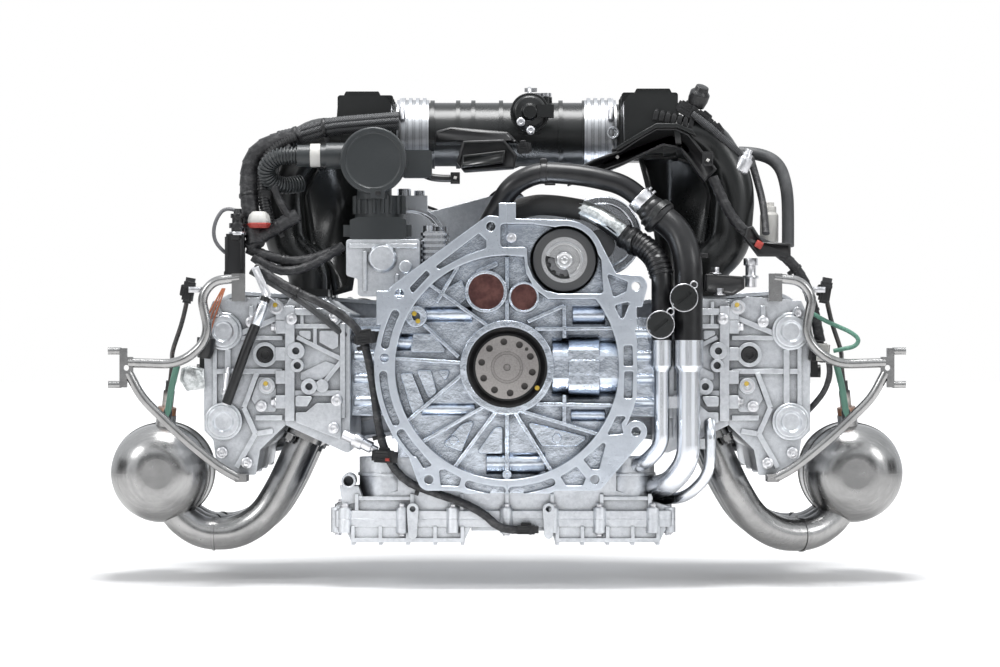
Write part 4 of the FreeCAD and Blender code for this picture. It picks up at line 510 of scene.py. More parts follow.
def lay(piece, place, turn=(0, 0, 0)):
    """Turns a piece by angles in degrees and puts its origin at place; both go into its mesh."""
    hold(piece)
    piece.rotation_euler = Euler([math.radians(a) for a in turn])
    piece.location = Vector(place) * MM
    bpy.ops.object.transform_apply(location=True, rotation=True, scale=True)
    return piece


def stand(piece, place, way=TOWARDS_CAMERA, roll=0.0):
    """Stands a piece's +Z along way, at place."""
    hold(piece)
    turn = Vector(way).to_track_quat("Z", "Y") @ Quaternion(UP, math.radians(roll))
    return lay(piece, place, [math.degrees(a) for a in turn.to_euler()])


def fit(piece, name, material):
    """Gives a finished piece its name, its finish and its body."""
    piece.name = name
    piece.data.name = name
    piece.data.materials.clear()
    piece.data.materials.append(material)
    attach(piece, "engine")
    return piece


def black(piece, name):
    """A finished piece of plain black plastic."""
    return fit(piece, name, box_plastic)


def bright(piece, name):
    """A finished piece of plated steel."""
    return fit(piece, name, fastener_steel)


def repeat(pattern, places):
    """Copies of one shaped piece at each (place, way), each with its own mesh, joined into one piece."""
    copies = []
    for i, (place, way) in enumerate(places):
        copy = pattern.copy()
        copy.data = pattern.data.copy()
        bpy.context.collection.objects.link(copy)
        copies.append(stand(copy, place, way, roll=17.0 * i))
    alone()
    bpy.data.objects.remove(pattern)
    for copy in copies:
        copy.select_set(True)
    bpy.context.view_layer.objects.active = copies[0]
    bpy.ops.object.join()
    return bpy.context.object


def joined(*pieces):
    """Several pieces as one."""
    alone()
    for piece in pieces:
        piece.select_set(True)
    bpy.context.view_layer.objects.active = pieces[0]
    bpy.ops.object.join()
    return bpy.context.object


def path(route, radius=0.0):
    """A smooth curve along a route of points in millimetres."""
    curve = bpy.data.curves.new("route", "CURVE")
    curve.dimensions = "3D"
    curve.resolution_u = 8
    spline = curve.splines.new("NURBS")
    spline.points.add(len(route) - 1)
    for point, place in zip(spline.points, route):
        point.co = (*(Vector(place) * MM), 1.0)
    spline.order_u = 3
    spline.use_endpoint_u = True
    curve.bevel_depth = radius * MM
    curve.bevel_resolution = 4
    curve.use_fill_caps = True
    piece = bpy.data.objects.new("route", curve)
    bpy.context.collection.objects.link(piece)
    return piece


def tube(name, route, radius, material):
    """A hose, pipe or lead along a route."""
    piece = path(route, radius)
    hold(piece)
    bpy.ops.object.convert(target="MESH")
    piece = bpy.context.object
    bpy.ops.object.mode_set(mode="EDIT")
    bpy.ops.mesh.select_all(action="SELECT")
    bpy.ops.mesh.remove_doubles(threshold=WELD)
    bpy.ops.mesh.normals_make_consistent(inside=False)
    alone()
    hold(piece)
    bpy.ops.object.shade_smooth_by_angle(angle=SMOOTH_ANGLE)
    return fit(piece, name, material)


def ringed(name, route, rings, pitch, material):
    """A hose whose wall repeats along its route, from (share of the pitch, radius) steps of one repeat."""
    line = path(route)
    length = line.data.splines[0].calc_length()
    count = max(2, round(length / (pitch * MM)))
    step = length / count
    alone()
    share, radius = rings[0]
    bpy.ops.mesh.primitive_circle_add(vertices=HOSE_SIDES, radius=radius * MM,
                                      rotation=(0, math.radians(90), 0))
    bpy.ops.object.transform_apply(location=True, rotation=True, scale=True)
    piece = bpy.context.object
    bpy.ops.object.mode_set(mode="EDIT")
    bpy.ops.mesh.select_mode(type="VERT")
    bpy.ops.mesh.select_all(action="SELECT")
    for next_share, next_radius in rings[1:]:
        reach = (next_share - share) * step
        bpy.ops.mesh.extrude_region_move(TRANSFORM_OT_translate={"value": (reach, 0, 0)})
        growth = next_radius / radius
        bpy.ops.transform.resize(value=(1, growth, growth), center_override=(next_share * step, 0, 0))
        share, radius = next_share, next_radius
    alone()
    hold(piece)
    bpy.ops.object.modifier_add(type="ARRAY")
    row = piece.modifiers[-1]
    row.count = count
    row.use_relative_offset = False
    row.use_constant_offset = True
    row.constant_offset_displace = (step, 0, 0)
    row.use_merge_vertices = True
    row.merge_threshold = RING_WELD
    bpy.ops.object.modifier_apply(modifier=row.name)
    bpy.ops.object.modifier_add(type="CURVE")
    bend = piece.modifiers[-1]
    bend.object = line
    bpy.ops.object.modifier_apply(modifier=bend.name)
    bpy.data.objects.remove(line)
    bpy.ops.object.mode_set(mode="EDIT")
    bpy.ops.mesh.select_mode(type="VERT")
    bpy.ops.mesh.select_all(action="SELECT")
    bpy.ops.mesh.fill_holes(sides=0)
    bpy.ops.mesh.normals_make_consistent(inside=False)
    alone()
    hold(piece)
    bpy.ops.object.shade_smooth_by_angle(angle=RING_SMOOTH_ANGLE)
    return fit(piece, name, material)


def wrapped(name, route, slim, thick):
    """A loom under tape, each turn of it slim where it begins and thick where it overlaps."""
    return ringed(name, route, [(0.0, slim), (0.85, thick), (1.0, slim)], TAPE_TURN, loom_tape)


def along(route, share):
    """The point at a share of the way along a route's curve, in millimetres, and the way it runs there."""
    line = path(route)
    bpy.context.view_layer.update()
    mesh = bpy.data.meshes.new_from_object(line)
    points = [vertex.co / MM for vertex in mesh.vertices]
    bpy.data.objects.remove(line)
    bpy.data.meshes.remove(mesh)
    lengths = [(b - a).length for a, b in zip(points, points[1:])]
    rest = share * sum(lengths)
    for start, end, length in zip(points, points[1:], lengths):
        if rest <= length:
            return start.lerp(end, rest / length), (end - start).normalized()
        rest -= length
    return points[-1], (points[-1] - points[-2]).normalized()


def tie(route, share, radius):
    """A cable tie round a route, with its head."""
    place, way = along(route, share)
    band = turn_up([(-TIE_WIDTH / 2, radius + 0.9), (TIE_WIDTH / 2, radius + 0.9)], 24, 0.5)
    head = block((7, 6, TIE_WIDTH + 1.6))
    press(head, front_faces, 1.2, -1.5)
    soften(head, 0.5)
    lay(head, (0, -radius - 2.6, 0))
    return stand(joined(band, head), place, way)


def ties(name, places):
    """Cable ties at (route, share of it, radius), as one piece."""
    return black(joined(*[tie(*place) for place in places]), name)


def flange_bolt(r, height):
    """A flange bolt: a dished washer face, a six-sided head and a shallow dimple."""
    washer = turn_up([(-0.5, r * 1.35), (1.0, r * 1.35), (1.9, r * 1.02)], 24, 0.25)
    alone()
    bpy.ops.mesh.primitive_circle_add(vertices=6, radius=r * MM, fill_type="NGON",
                                      location=(0, 0, WASHER_TOP * MM))
    bpy.ops.object.transform_apply(location=True, rotation=True, scale=True)
    head = bpy.context.object
    bpy.ops.object.mode_set(mode="EDIT")
    bpy.ops.mesh.select_all(action="SELECT")
    bpy.ops.mesh.extrude_region_move(TRANSFORM_OT_translate={"value": (0, 0, (height - WASHER_TOP) * MM)})
    bpy.ops.mesh.inset(thickness=r * 0.28 * MM, depth=0.0)
    bpy.ops.mesh.inset(thickness=r * 0.15 * MM, depth=-0.9 * MM)
    bpy.ops.mesh.select_all(action="SELECT")
    bpy.ops.mesh.normals_make_consistent(inside=False)
    alone()
    soften(head, 0.35, 2, 30)
    return joined(washer, head)


def socket_plug(r):
    """A screwed plug with a sunk middle."""
    return turn_up([(-6, r), (0, r), (0, r * 0.78), (-1.2, r * 0.72), (-1.2, r * 0.5), (-5, r * 0.46)], 30,
                   0.3)


def plug_housing(size, ribs=2):
    """A cable connector along +X: a collar, a sunk end and front, a latch on top and ribs round it."""
    length, depth, height = size
    body = block(size)
    press(body, right_faces, 1.2, length * 0.22)
    press(body, right_faces, 1.4, -length * 0.18)
    press(body, left_faces, 2.0, length * 0.14)
    press(body, lambda at, n: front_faces(at, n) and at.x < length * 0.45, 1.6, -0.9)
    soften(body, 0.5)
    tongue = block((length * 0.6, depth * 0.4, 3.2))
    press(tongue, top_faces, 1.0, 1.0)
    soften(tongue, 0.4)
    pieces = [body, lay(tongue, (0, 0, height / 2 + 1.4))]
    for i in range(ribs):
        rib = block((length * 0.9, depth * 1.04, 1.2))
        soften(rib, 0.3)
        pieces.append(lay(rib, (0, 0, height * ((i + 0.5) / ribs - 0.5) * 0.8)))
    return joined(*pieces)


def head_details():
    """Screws, plugs and paint marks on the gearbox end of each head and cam cover."""
    on_cover = {(392, -118): 10, (358, -132): 10, (400, 74): 8, (338, -54): 9, (352, 62): 8}
    on_head = {(238, 68): 11, (234, -46): 12, (296, 66): 12, (238, -84): 14}
    on_lug = ((318, 55), (318, -48))
    marks = ((317, 82), (330, -26))
    for side, name in BANKS.items():
        front = HEAD_FRONT[side]
        places = [((side * u, front + 2 - proud, z), TOWARDS_CAMERA) for (u, z), proud in on_cover.items()]
        places += [((side * u, front - proud, z), TOWARDS_CAMERA) for (u, z), proud in on_head.items()]
        places += [((side * u, front - 4, z), (side, 0, 0)) for u, z in on_lug]
        bright(repeat(flange_bolt(5.6, 6.5), places), f"head_screws_{name}")
        black(stand(socket_plug(11.6), (side * 333, front - 3.5, 17)), f"oil_way_plug_{name}")
        studs = [((side * u, front - 12, z), TOWARDS_CAMERA) for u, z in marks]
        stud = turn_up([(-2, 8.6), (1.2, 8.6), (1.2, 5.4), (-0.6, 5.0), (-0.6, 2.6), (1.6, 2.0)], 30, 0.3)
        bright(repeat(stud, studs), f"sealing_screws_{name}")
        paint = turn_up([(0, 3.4), (0.5, 3.2), (0.8, 2.0)], 14, 0.2)
        spots = [((side * u - 1.5, front - 13.3, z + 3.2), TOWARDS_CAMERA) for u, z in marks]
        if side == LEFT:
            spots += [((-126, 11.6, 73), TOWARDS_CAMERA), ((-121, 11.6, 63), TOWARDS_CAMERA)]
        else:
            spots += [((41, 17.8, -28), TOWARDS_CAMERA)]
        fit(repeat(paint, spots), f"paint_marks_{name}", yellow_paint)


def bell_details():
    """The screw at the top of the bell, and the sump's rim screws."""
    bright(repeat(flange_bolt(5.2, 5.0), [((6, 12, 176), TOWARDS_CAMERA)]), "bell_screw")
    rim_z, pan_z = -193, -227
    rim = [((x, 56, rim_z), UP) for x in (-222, -143, -74, -1, 62, 127, 200)]
    rim += [((x, y, rim_z), UP) for x in (-232, 222) for y in (180, 290, 392)]
    bright(repeat(flange_bolt(5.4, 6.0), rim), "sump_screws")
    under = [((x, 56, pan_z), DOWN) for x in (-143, -1, 127)]
    under += [((x, y, pan_z), DOWN) for x in (-232, 222) for y in (72, 180, 290, 392)]
    bright(repeat(flange_bolt(5.0, 4.5), under), "pan_screws")
    hub = turn_up([(-3, 10.4), (0.6, 10.4), (1.2, 9.0), (0.4, 7.4), (0.4, 4.4), (1.4, 3.6), (1.6, 2.0)], 48,
                  0.3)
    fit(stand(hub, (78, 10.2, 146)), "starter_hub", starter_face)


MAIN_LOOM = [
    (-150, 128, 342), (-202, 132, 338), (-252, 134, 334), (-284, 140, 323), (-320, 148, 316),
    (-352, 150, 300), (-362, 148, 268), (-357, 132, 211), (-348, 112, 168),
]
TAPED_LOOM = [
    (-290, 118, 211), (-316, 118, 195), (-350, 118, 176), (-360, 116, 164), (-318, 112, 147),
    (-276, 112, 145), (-232, 110, 163),
]
LOW_LOOM = [
    (-345, 60, 138), (-300, 50, 108), (-240, 45, 82), (-197, 43, 49), (-182, 43, -28), (-173, 43, -105),
    (-146, 43, -154), (-100, 44, -172), (-62, 42, -184), (-28, 39, -202), (-8, 38, -224), (24, 38, -222),
]
RIGHT_LOOM = [
    (284, 86, 262), (300, 84, 222), (322, 82, 190), (352, 80, 170), (388, 80, 150), (412, 82, 116),
    (424, 84, 76), (432, 84, 34),
]
VAPOUR_HOSE = [
    (326, 178, 300), (352, 176, 300), (382, 170, 286), (393, 164, 250), (394, 160, 206), (393, 152, 168),
]


def looms():
    """The harness: a sleeved bundle over the separator, taped looms at both sides, one under the bell."""
    trunk = ringed("main_loom", MAIN_LOOM[3:], [(0.0, 12.2), (0.9, 13.1), (1.0, 12.2)], 15.0, loom_tape)
    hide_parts("control_box")
    beside = [(-292, 132, 318), (-320, 134, 306), (-338, 134, 284), (-340, 130, 250), (-334, 122, 214),
              (-326, 116, 184)]
    ringed("side_conduit", beside, [(0.0, 7.6), (0.25, 7.6), (0.4, 8.8), (0.85, 8.8), (1.0, 7.6)], 4.2,
           box_plastic)
    inner = [(-300, 126, 306), (-318, 124, 290), (-326, 120, 262), (-318, 116, 232), (-300, 114, 205)]
    ringed("inner_loom", inner, [(0.0, 5.4), (0.85, 6.0), (1.0, 5.4)], 11.0, loom_tape)
    strands = 8
    for i in range(strands):
        angle = 2 * math.pi * i / strands
        shift = Vector((0, 8.6 * math.cos(angle), 8.6 * math.sin(angle)))
        route = [Vector(place) + shift for place in MAIN_LOOM[:5]]
        ringed(f"sleeved_lead_{i + 1}", route, [(0.0, 3.9), (0.5, 4.5), (1.0, 3.9)], 5.0, braid)
    wrapped("taped_loom", TAPED_LOOM[:4], 9.6, 10.6)
    wrapped("valley_loom", TAPED_LOOM[3:], 7.0, 7.8)
    under = [(-352, 108, 152), (-322, 106, 132), (-290, 106, 133), (-258, 106, 146), (-226, 108, 168)]
    wrapped("under_loom", under, 6.0, 6.7)
    second = [(-352, 66, 132), (-318, 62, 112), (-284, 60, 92), (-250, 62, 66), (-226, 76, 44),
              (-206, 110, 34)]
    tube("second_lead", second, 4.6, grey_rubber)
    ringed("low_loom", LOW_LOOM, [(0.0, 5.5), (0.9, 5.9), (1.0, 5.5)], 14.0, loom_tape)
    wrapped("right_loom", RIGHT_LOOM, 7.0, 7.6)
    tube("vapour_hose", VAPOUR_HOSE, 8.8, grey_rubber)
    ties("loom_ties", [
        (MAIN_LOOM, 0.30, 13.4), (MAIN_LOOM, 0.42, 13.2), (MAIN_LOOM, 0.78, 13.4), (TAPED_LOOM, 0.16, 10.4),
        (TAPED_LOOM, 0.62, 8.0), (LOW_LOOM, 0.12, 6.0), (LOW_LOOM, 0.34, 6.0), (LOW_LOOM, 0.56, 6.0),
        (LOW_LOOM, 0.72, 6.0), (RIGHT_LOOM, 0.34, 7.6), (RIGHT_LOOM, 0.62, 7.6), (RIGHT_LOOM, 0.84, 7.6),
    ])


def relay_box():
    """The relay box under the crossover with its plug and vacuum pipe, and the shelf at the right."""
    cover = slab([(-101, 315), (-100, 332), (-79, 338), (2, 331), (17, 315)], 205, 262, 2.4)
    press(cover, flat_front, 2.5, 1.2)
    black(cover, "relay_cover")
    case = slab([(-62, 318), (-71, 288), (-60, 274), (11, 279), (15, 298), (-4, 320)], 196, 232, 2.0)
    press(case, flat_front, 3.0, -1.6)
    black(case, "relay_case")
    lid = slab([(-66, 279), (-4, 286), (-2, 304), (-62, 297)], 188, 198, 1.2)
    press(lid, flat_front, 2.5, -0.8)
    fit(lid, "relay_lid", intake_plastic)
    foot = slab([(-90, 316), (-60, 316), (-60, 330), (-90, 330)], 258, 284, 1.5)
    black(foot, "relay_foot")
    plug = lay(plug_housing((15, 16, 15), 3), (24, 210, 308), (0, -6, 0))
    black(plug, "relay_plug")
    shelf = slab([(234, 150), (276, 150), (276, 156), (234, 156)], 60, 96, 1.0)
    black(shelf, "loom_shelf")
    bolts = [((20, 224, 346), TOWARDS_CAMERA), ((34, 224, 334), TOWARDS_CAMERA)]
    bright(repeat(flange_bolt(4.6, 5), bolts), "actuator_screws")
    tube("vacuum_pipe", [(-138, 150, 297), (-128, 150, 280), (-114, 150, 266), (-92, 150, 262),
                         (-66, 152, 263)],
         5.2, box_plastic)
    clip = block((13, 12, 16))
    press(clip, front_faces, 2.2, -1.5)
    black(lay(soften(clip, 0.6), (-72, 146, 263)), "pipe_clip")


def separator_details():
    """What hangs on the round breather separator: its corrugated hose, a band, and the cap's catch."""
    catch = block((11, 7, 9))
    press(catch, front_faces, 1.6, 1.4)
    black(lay(soften(catch, 0.8), (-177, 70, 239)), "cap_catch")
    hose = [(-286, 104, 292), (-300, 104, 293), (-322, 106, 290), (-336, 112, 274), (-328, 122, 256),
            (-306, 134, 250), (-286, 146, 256)]
    ringed("breather_hose", hose, [(0.0, 9.8), (0.2, 9.8), (0.35, 12.4), (0.65, 12.4), (0.8, 9.8),
                                   (1.0, 9.8)], 4.4,
           grained_sheen_plastic)
    band = turn_up([(0, 16.2), (14, 16.2)], 32, 0.6)
    fit(stand(band, (-272, 104, 292.5), (1, 0, 0)), "breather_band", white_plastic)
    tube("breather_drain", [(-292, 112, 284), (-268, 108, 281), (-246, 104, 279), (-226, 100, 280)], 5.5,
         intake_plastic)
    clip = block((16, 14, 13))
    press(clip, front_faces, 1.8, 2.0)
    press(clip, lambda at, n: abs(n.x) > FACING, 2.2, 2.0)
    black(lay(soften(clip, 0.6), (-336, 128, 240), (0, 12, 0)), "loom_clip")


def left_sensors():
    """The sensor and plugs outside the left runners, with their leads."""
    sensor = turn_up([(0, 9), (6, 9), (6, 12), (13, 12), (13, 8), (20, 8), (20, 10), (26, 10), (26, 6),
                      (33, 5)], 28)
    black(stand(sensor, (-373, 110, 186), UP), "pressure_sensor")
    collar = turn_up([(0, 12.6), (5, 12.6)], 28, 0.8)
    bright(stand(collar, (-373, 110, 182), UP), "sensor_collar")
    body = block((25, 26, 56))
    press(body, front_faces, 3.0, -1.8)
    press(body, left_faces, 4.0, 2.0)
    press(body, bottom_faces, 3.5, 5.0)
    black(lay(soften(body, 0.9), (-376, 112, 156)), "sensor_holder")
    tube("sensor_lead", [(-377, 108, 217), (-390, 106, 221), (-402, 104, 206), (-407, 104, 186),
                         (-402, 105, 168), (-390, 108, 158)], 2.6, grey_wire)
    shell = turn_up([(0, 15), (5, 16), (12, 14), (17, 9)], 8, 0.8)
    fit(stand(shell, (-343, 104, 198), UP), "wide_plug", white_plastic)
    ring = turn_up([(-5, 13), (0, 16.4), (2.4, 15.4)], 8, 0.6)
    fit(stand(ring, (-343, 104, 197), UP), "wide_plug_seal", red_plastic)
    tube("diagonal_hose", [(-330, 50, 96), (-342, 49, 62), (-356, 48, 28), (-370, 48, -12), (-384, 50, -50)],
         7.0, hose_rubber)
    sleeve = turn_up([(0, 8.2), (30, 8.2), (30, 7.2), (34, 7.2)], 28, 0.5)
    fit(stand(sleeve, (-344, 49, 58), (0.36, 0.02, 0.93)), "hose_sleeve", pipe_alloy)
    strap = slab([(-350, 136), (-340, 138), (-322, 98), (-332, 92)], 46, 49, 1.0)
    press(strap, flat_front, 2.4, -0.8)
    bright(strap, "hose_strap")
    probe = turn_up([(0, 5), (14, 5), (14, 8), (22, 8), (22, 6.4), (44, 6.4), (44, 4), (52, 3)], 24, 0.5)
    bright(stand(probe, (-386, 58, -52), (0.08, 0.0, 1)), "speed_probe")
    cup = turn_up([(0, 9), (8, 12), (28, 13), (28, 9), (34, 7)], 26, 0.8)
    black(stand(cup, (-416, 66, 12), (0.12, 0, 1)), "lead_socket")
    for i, shift in enumerate((-4.0, 0.0, 4.0)):
        tube(f"copper_lead_{i + 1}", [(-412 + shift, 66, 44), (-409 + 1.4 * shift, 64, 62),
                                      (-400 + shift, 66, 84), (-390 + 0.4 * shift, 78, 108)], 1.1,
                                      copper_wire)
    plate = slab([(-447, -2), (-436, 2), (-416, -2), (-414, -30), (-440, -33), (-449, -18)], 64, 68, 0.9)
    press(plate, flat_front, 3.0, 1.2)
    fit(plate, "lead_shield", shield_foil)
    for side, name in BANKS.items():
        tube(f"sensor_sleeve_{name}", [(side * 455, 88, 2), (side * 462, 88, -24), (side * 466, 90, -50),
                                       (side * 470, 94, -72)], 4.6, green_sleeve)
        grommet = turn_up([(0, 5.4), (16, 6.4), (20, 5.0)], 22, 0.5)
        fit(stand(grommet, (side * 470, 95, -78), (-side * 0.1, 0, 1)), f"sleeve_end_{name}", hose_rubber)
        plug = lay(plug_housing((26, 15, 15), 2), (side * 437, 64, 104), (0, -80, 0))
        black(plug, f"sensor_plug_{name}")
        holder = block((18, 7, 8))
        press(holder, front_faces, 1.6, 1.2)
        bright(lay(soften(holder, 0.6), (side * 427, 54, 106)), f"sensor_clip_{name}")


def low_loom_plugs():
    """Plugs and clips on the loom that passes under the bell."""
    first = lay(plug_housing((26, 18, 16), 3), (-192, 40, 40), (0, -8, 0))
    black(first, "loom_plug_upper")
    second = lay(plug_housing((26, 20, 17), 2), (-168, 40, -122), (0, 4, 0))
    black(second, "loom_plug_lower")
    lock = block((6, 4, 4))
    press(lock, front_faces, 0.8, 0.8)
    fit(lay(soften(lock, 0.4), (-163, 28.5, -126)), "plug_lock", red_plastic)
    knock = turn_up([(0, 7), (16, 7), (16, 10), (30, 10), (30, 8), (44, 8), (44, 5), (52, 5)], 28, 0.6)
    bright(stand(knock, (-224, 54, -92), (0.9, -0.18, -0.42)), "level_probe")
    third = lay(plug_housing((24, 14, 12), 2), (26, 38, -222))
    black(third, "loom_plug_end")


def coolant_details():
    """Clamps, collars, the textile sleeve and the cap rings on the coolant hoses."""
    tube("textile_sleeve", [(104, 79, 216), (84, 82, 220), (62, 84, 223), (36, 92, 224), (16, 110, 218)],
         14.4, textile)
    tube("silver_hose", [(160, 60, 182), (146, 62, 193), (128, 69, 206), (110, 77, 215), (96, 80, 218)], 13.6,
         shield_foil)
    elbow = [(158, 59, 184), (168, 58, 176), (184, 54, 168), (198, 45, 156), (207, 37, 142), (211, 33, 124)]
    ringed("elbow_ribs", elbow, [(0.0, 15.4), (0.25, 15.4), (0.4, 16.8), (0.75, 16.8), (0.9, 15.4),
                                 (1.0, 15.4)], 6.4,
           hose_rubber)
    across = Vector((-0.69, 0.1, 0.72)).normalized()
    band = turn_up([(0, 18.4), (2, 18.8), (12, 18.8), (14, 18.4)], 40, 0.5)
    hose_end = Vector((190, 62, 224))
    stand(band, hose_end, across)
    ears = []
    for reach in (3.5, 10.5):
        ear = block((9, 5, 3))
        soften(ear, 0.6)
        ears.append(stand(ear, hose_end + across * reach + Vector((14, -9, 13)), across))
    bright(joined(band, *ears), "spring_clamp")
    collar = turn_up([(0, 22.0), (3, 25.2), (9, 25.2), (11, 22.6), (15, 22.6), (17, 24.0), (20, 21.4)], 44,
                     0.6)
    black(stand(collar, (213, 58, 200), across), "hose_collar")
    small = turn_up([(0, 16.0), (2, 17.6), (8, 17.6), (10, 16.0)], 36, 0.5)
    black(stand(small, (172, 57, 173), (-0.66, 0.1, 0.62)), "small_collar")
    strap = turn_up([(0, 15.6), (9, 15.6)], 36, 0.6)
    stand(strap, (46, 66, 267), (1, 0, 0))
    buckle = block((10, 8, 6))
    press(buckle, top_faces, 1.5, 1.2)
    soften(buckle, 0.6)
    black(joined(strap, lay(buckle, (50, 60, 282))), "hose_strap_top")
    for name, (x, z) in {"high": (239.8, 94.5), "low": (208.0, 58.0)}.items():
        alone()
        bpy.ops.mesh.primitive_torus_add(major_radius=18.4 * MM, minor_radius=1.0 * MM, major_segments=48,
                                         minor_segments=8)
        wire = stand(bpy.context.object, (x, -0.5, z))
        bpy.ops.mesh.primitive_torus_add(major_radius=4.6 * MM, minor_radius=0.9 * MM, major_segments=24,
                                         minor_segments=8)
        loop = stand(bpy.context.object, (x + 13.5, -0.5, z + 17.5))
        ring = joined(wire, loop)
        hold(ring)
        bpy.ops.object.shade_smooth()
        bright(ring, f"cap_wire_{name}")


def top_right():
    """The cable tray over the right runners, its plugs, and the small parts beside them."""
    top = [(84, 268), (120, 287), (156, 300), (183, 318), (206, 331), (234, 331), (252, 323), (291, 273)]
    under = [(273, 255), (252, 285), (239, 301), (216, 305), (156, 277), (120, 264), (84, 250)]
    tray = slab(top + under, 96, 128, 1.6)
    press(tray, flat_front, 3.0, -5.0)
    black(tray, "cable_tray")
    lip = slab([(150, 303), (183, 323), (206, 336), (234, 336), (256, 327), (262, 318), (236, 330),
                (206, 330), (183, 317), (152, 298)], 86, 104, 0.8)
    fit(lip, "tray_lip", intake_plastic)
    pads = []
    for x, y, z in ((153, 108, 292), (276, 70, 286), (60, 122, 262)):
        pad = block((15, 8, 20))
        press(pad, front_faces, 2.4, -1.4)
        pads.append(lay(soften(pad, 0.7), (x, y, z)))
    black(joined(*pads), "tray_clips")
    studs = turn_up([(0, 3.0), (2.2, 3.0)], 4, 0.3)
    places = [((153, 102, 290), TOWARDS_CAMERA), ((276, 65, 284), TOWARDS_CAMERA),
              ((-72, 138, 263), TOWARDS_CAMERA)]
    fit(repeat(studs, places), "clip_studs", white_plastic)
    row = []
    for i in range(7):
        part = block((6.5, 20, 13))
        press(part, top_faces, 1.2, 2.6)
        row.append(lay(soften(part, 0.5), (206 + 8.2 * i, 112, 348 - 1.9 * i), (0, 12, 0)))
    black(joined(*row), "plug_row")
    for i, (place, turn) in enumerate((((250, 112, 356), (0, 30, 0)), ((272, 112, 342), (0, 40, 0)),
                                       ((288, 112, 326), (0, 55, 0)), ((300, 118, 306), (0, 70, 0)))):
        black(lay(plug_housing((24, 19, 17), 3), place, turn), f"tray_plug_{i + 1}")
    drum = turn_up([(0, 12), (10, 14), (20, 14), (24, 10), (30, 9)], 30, 0.8)
    black(stand(drum, (262, 116, 362), (0.3, -0.4, 0.85)), "round_plug")
    lead = [(256, 100, 350), (276, 100, 336), (298, 103, 316), (318, 110, 300), (338, 120, 284)]
    ringed("tray_lead", lead, [(0.0, 4.8), (0.5, 5.4), (1.0, 4.8)], 4.6, braid)
    branch = [(340, 146, 292), (348, 138, 262), (354, 122, 236), (357, 108, 210), (358, 94, 184)]
    tube("branch_loom", branch, 5.2, loom_tape)
    for i, dx in enumerate((-4, 0, 4)):
        tube(f"thin_lead_{i + 1}", [(300 + dx, 112, 318), (312 + dx, 118, 296), (314 + dx, 122, 274),
                                    (306 + dx, 124, 256)],
             1.8, box_plastic)
    valve = turn_up([(0, 9), (5, 13), (42, 13), (46, 10), (54, 10), (54, 7), (60, 7)], 32, 0.8)
    fit(stand(valve, (368, 168, 170), UP), "vent_valve", white_plastic)
    purge = turn_up([(0, 7), (4, 11), (22, 11), (24, 8), (30, 8), (30, 5), (36, 5)], 28, 0.6)
    bright(stand(purge, (322, 112, 268), (0.4, 0, 0.9)), "purge_valve")
    sender = turn_up([(0, 8), (12, 8), (12, 11), (16, 11), (16, 7.4), (30, 7.4), (30, 10), (40, 10)], 28, 0.6)
    fit(stand(sender, (337, 96, 110), UP), "fuel_injector", fastener_steel)
    channel = slab([(330, 192), (338, 194), (352, 172), (390, 170), (390, 152), (346, 152), (326, 178)], 66,
                   92, 1.6)
    press(channel, flat_front, 2.4, -4.0)
    black(channel, "loom_channel")
    seal = block((10, 8, 10))
    press(seal, front_faces, 1.6, 1.6)
    fit(lay(soften(seal, 0.8), (346, 62, 168), (0, 30, 0)), "channel_seal", red_plastic)
    bar = slab([(272, 128), (326, 124), (326, 108), (310, 98), (272, 104)], 56, 74, 1.6)
    press(bar, flat_front, 2.4, -2.0)
    black(bar, "rail_bracket")
    heads = [((286, 64, 128), UP), ((292, 60, 99), UP)]
    bright(repeat(flange_bolt(6.2, 9), heads), "rail_screws")


def right_side():
    """The connector and the green hose outside the right cam cover."""
    body = lay(plug_housing((20, 20, 26), 2), (428, 68, 20), (0, 5, 0))
    black(body, "side_plug")
    shell = block((16, 23, 24))
    press(shell, front_faces, 2.0, -1.2)
    fit(lay(soften(shell, 0.8), (433, 67, 20), (0, 5, 0)), "side_plug_shell", white_plastic)
    loop = [(420, 72, 74), (434, 68, 65), (454, 64, 56), (472, 61, 48), (484, 60, 38), (478, 60, 28),
            (462, 61, 25), (448, 62, 22)]
    tube("green_hose", loop, 3.0, green_sleeve)
    tube("side_lead", [(440, 68, 16), (446, 72, -2), (440, 78, -30), (424, 84, -52), (410, 90, -66)], 4.2,
         loom_tape)


def intake_details():
    """Panels inside the runners, partly their moulded webs and partly a dark sheet of painted shade in the
    gaps; rings on the crossover's sleeves, and clamp screws.
    """
    web = [(250, 100), (256, 140), (286, 172), (297, 250), (274, 292), (230, 306), (186, 300), (196, 262),
           (206, 214), (214, 160), (222, 108)]
    # Painted shade: these black panels also fill the gaps between the runners where only shade falls.
    for side, name in BANKS.items():
        panel = slab([(side * x, z) for x, z in web], WEB_AND_SHADE_FRONT[side], WEB_AND_SHADE_FRONT[side] + 8, 1.5)
        press(panel, flat_front, 8.0, -2.0)
        fit(panel, f"runner_web_and_shade_{name}", intake_plastic)
    hole = turn_up([(-4, 9), (1.5, 9), (1.5, 6), (-2, 5.4), (-2, 2.0)], 30, 0.4)
    fit(stand(hole, (153, 278, 334)), "sleeve_port", pipe_alloy)
    for name, x in (("left", -150), ("right", 150)):
        strap = turn_up([(0, 52.0), (1, 52.6), (8, 52.6), (9, 52.0)], 64, 0.4)
        stand(strap, (x - 4.5, 330, 334), (1, 0, 0))
        worm = turn_up([(0, 4.5), (16, 4.5), (16, 3.2), (20, 3.2)], 20, 0.4)
        stand(worm, (x, 276, 352), (0, 0.3, 1))
        bright(joined(strap, worm), f"sleeve_clamp_{name}")


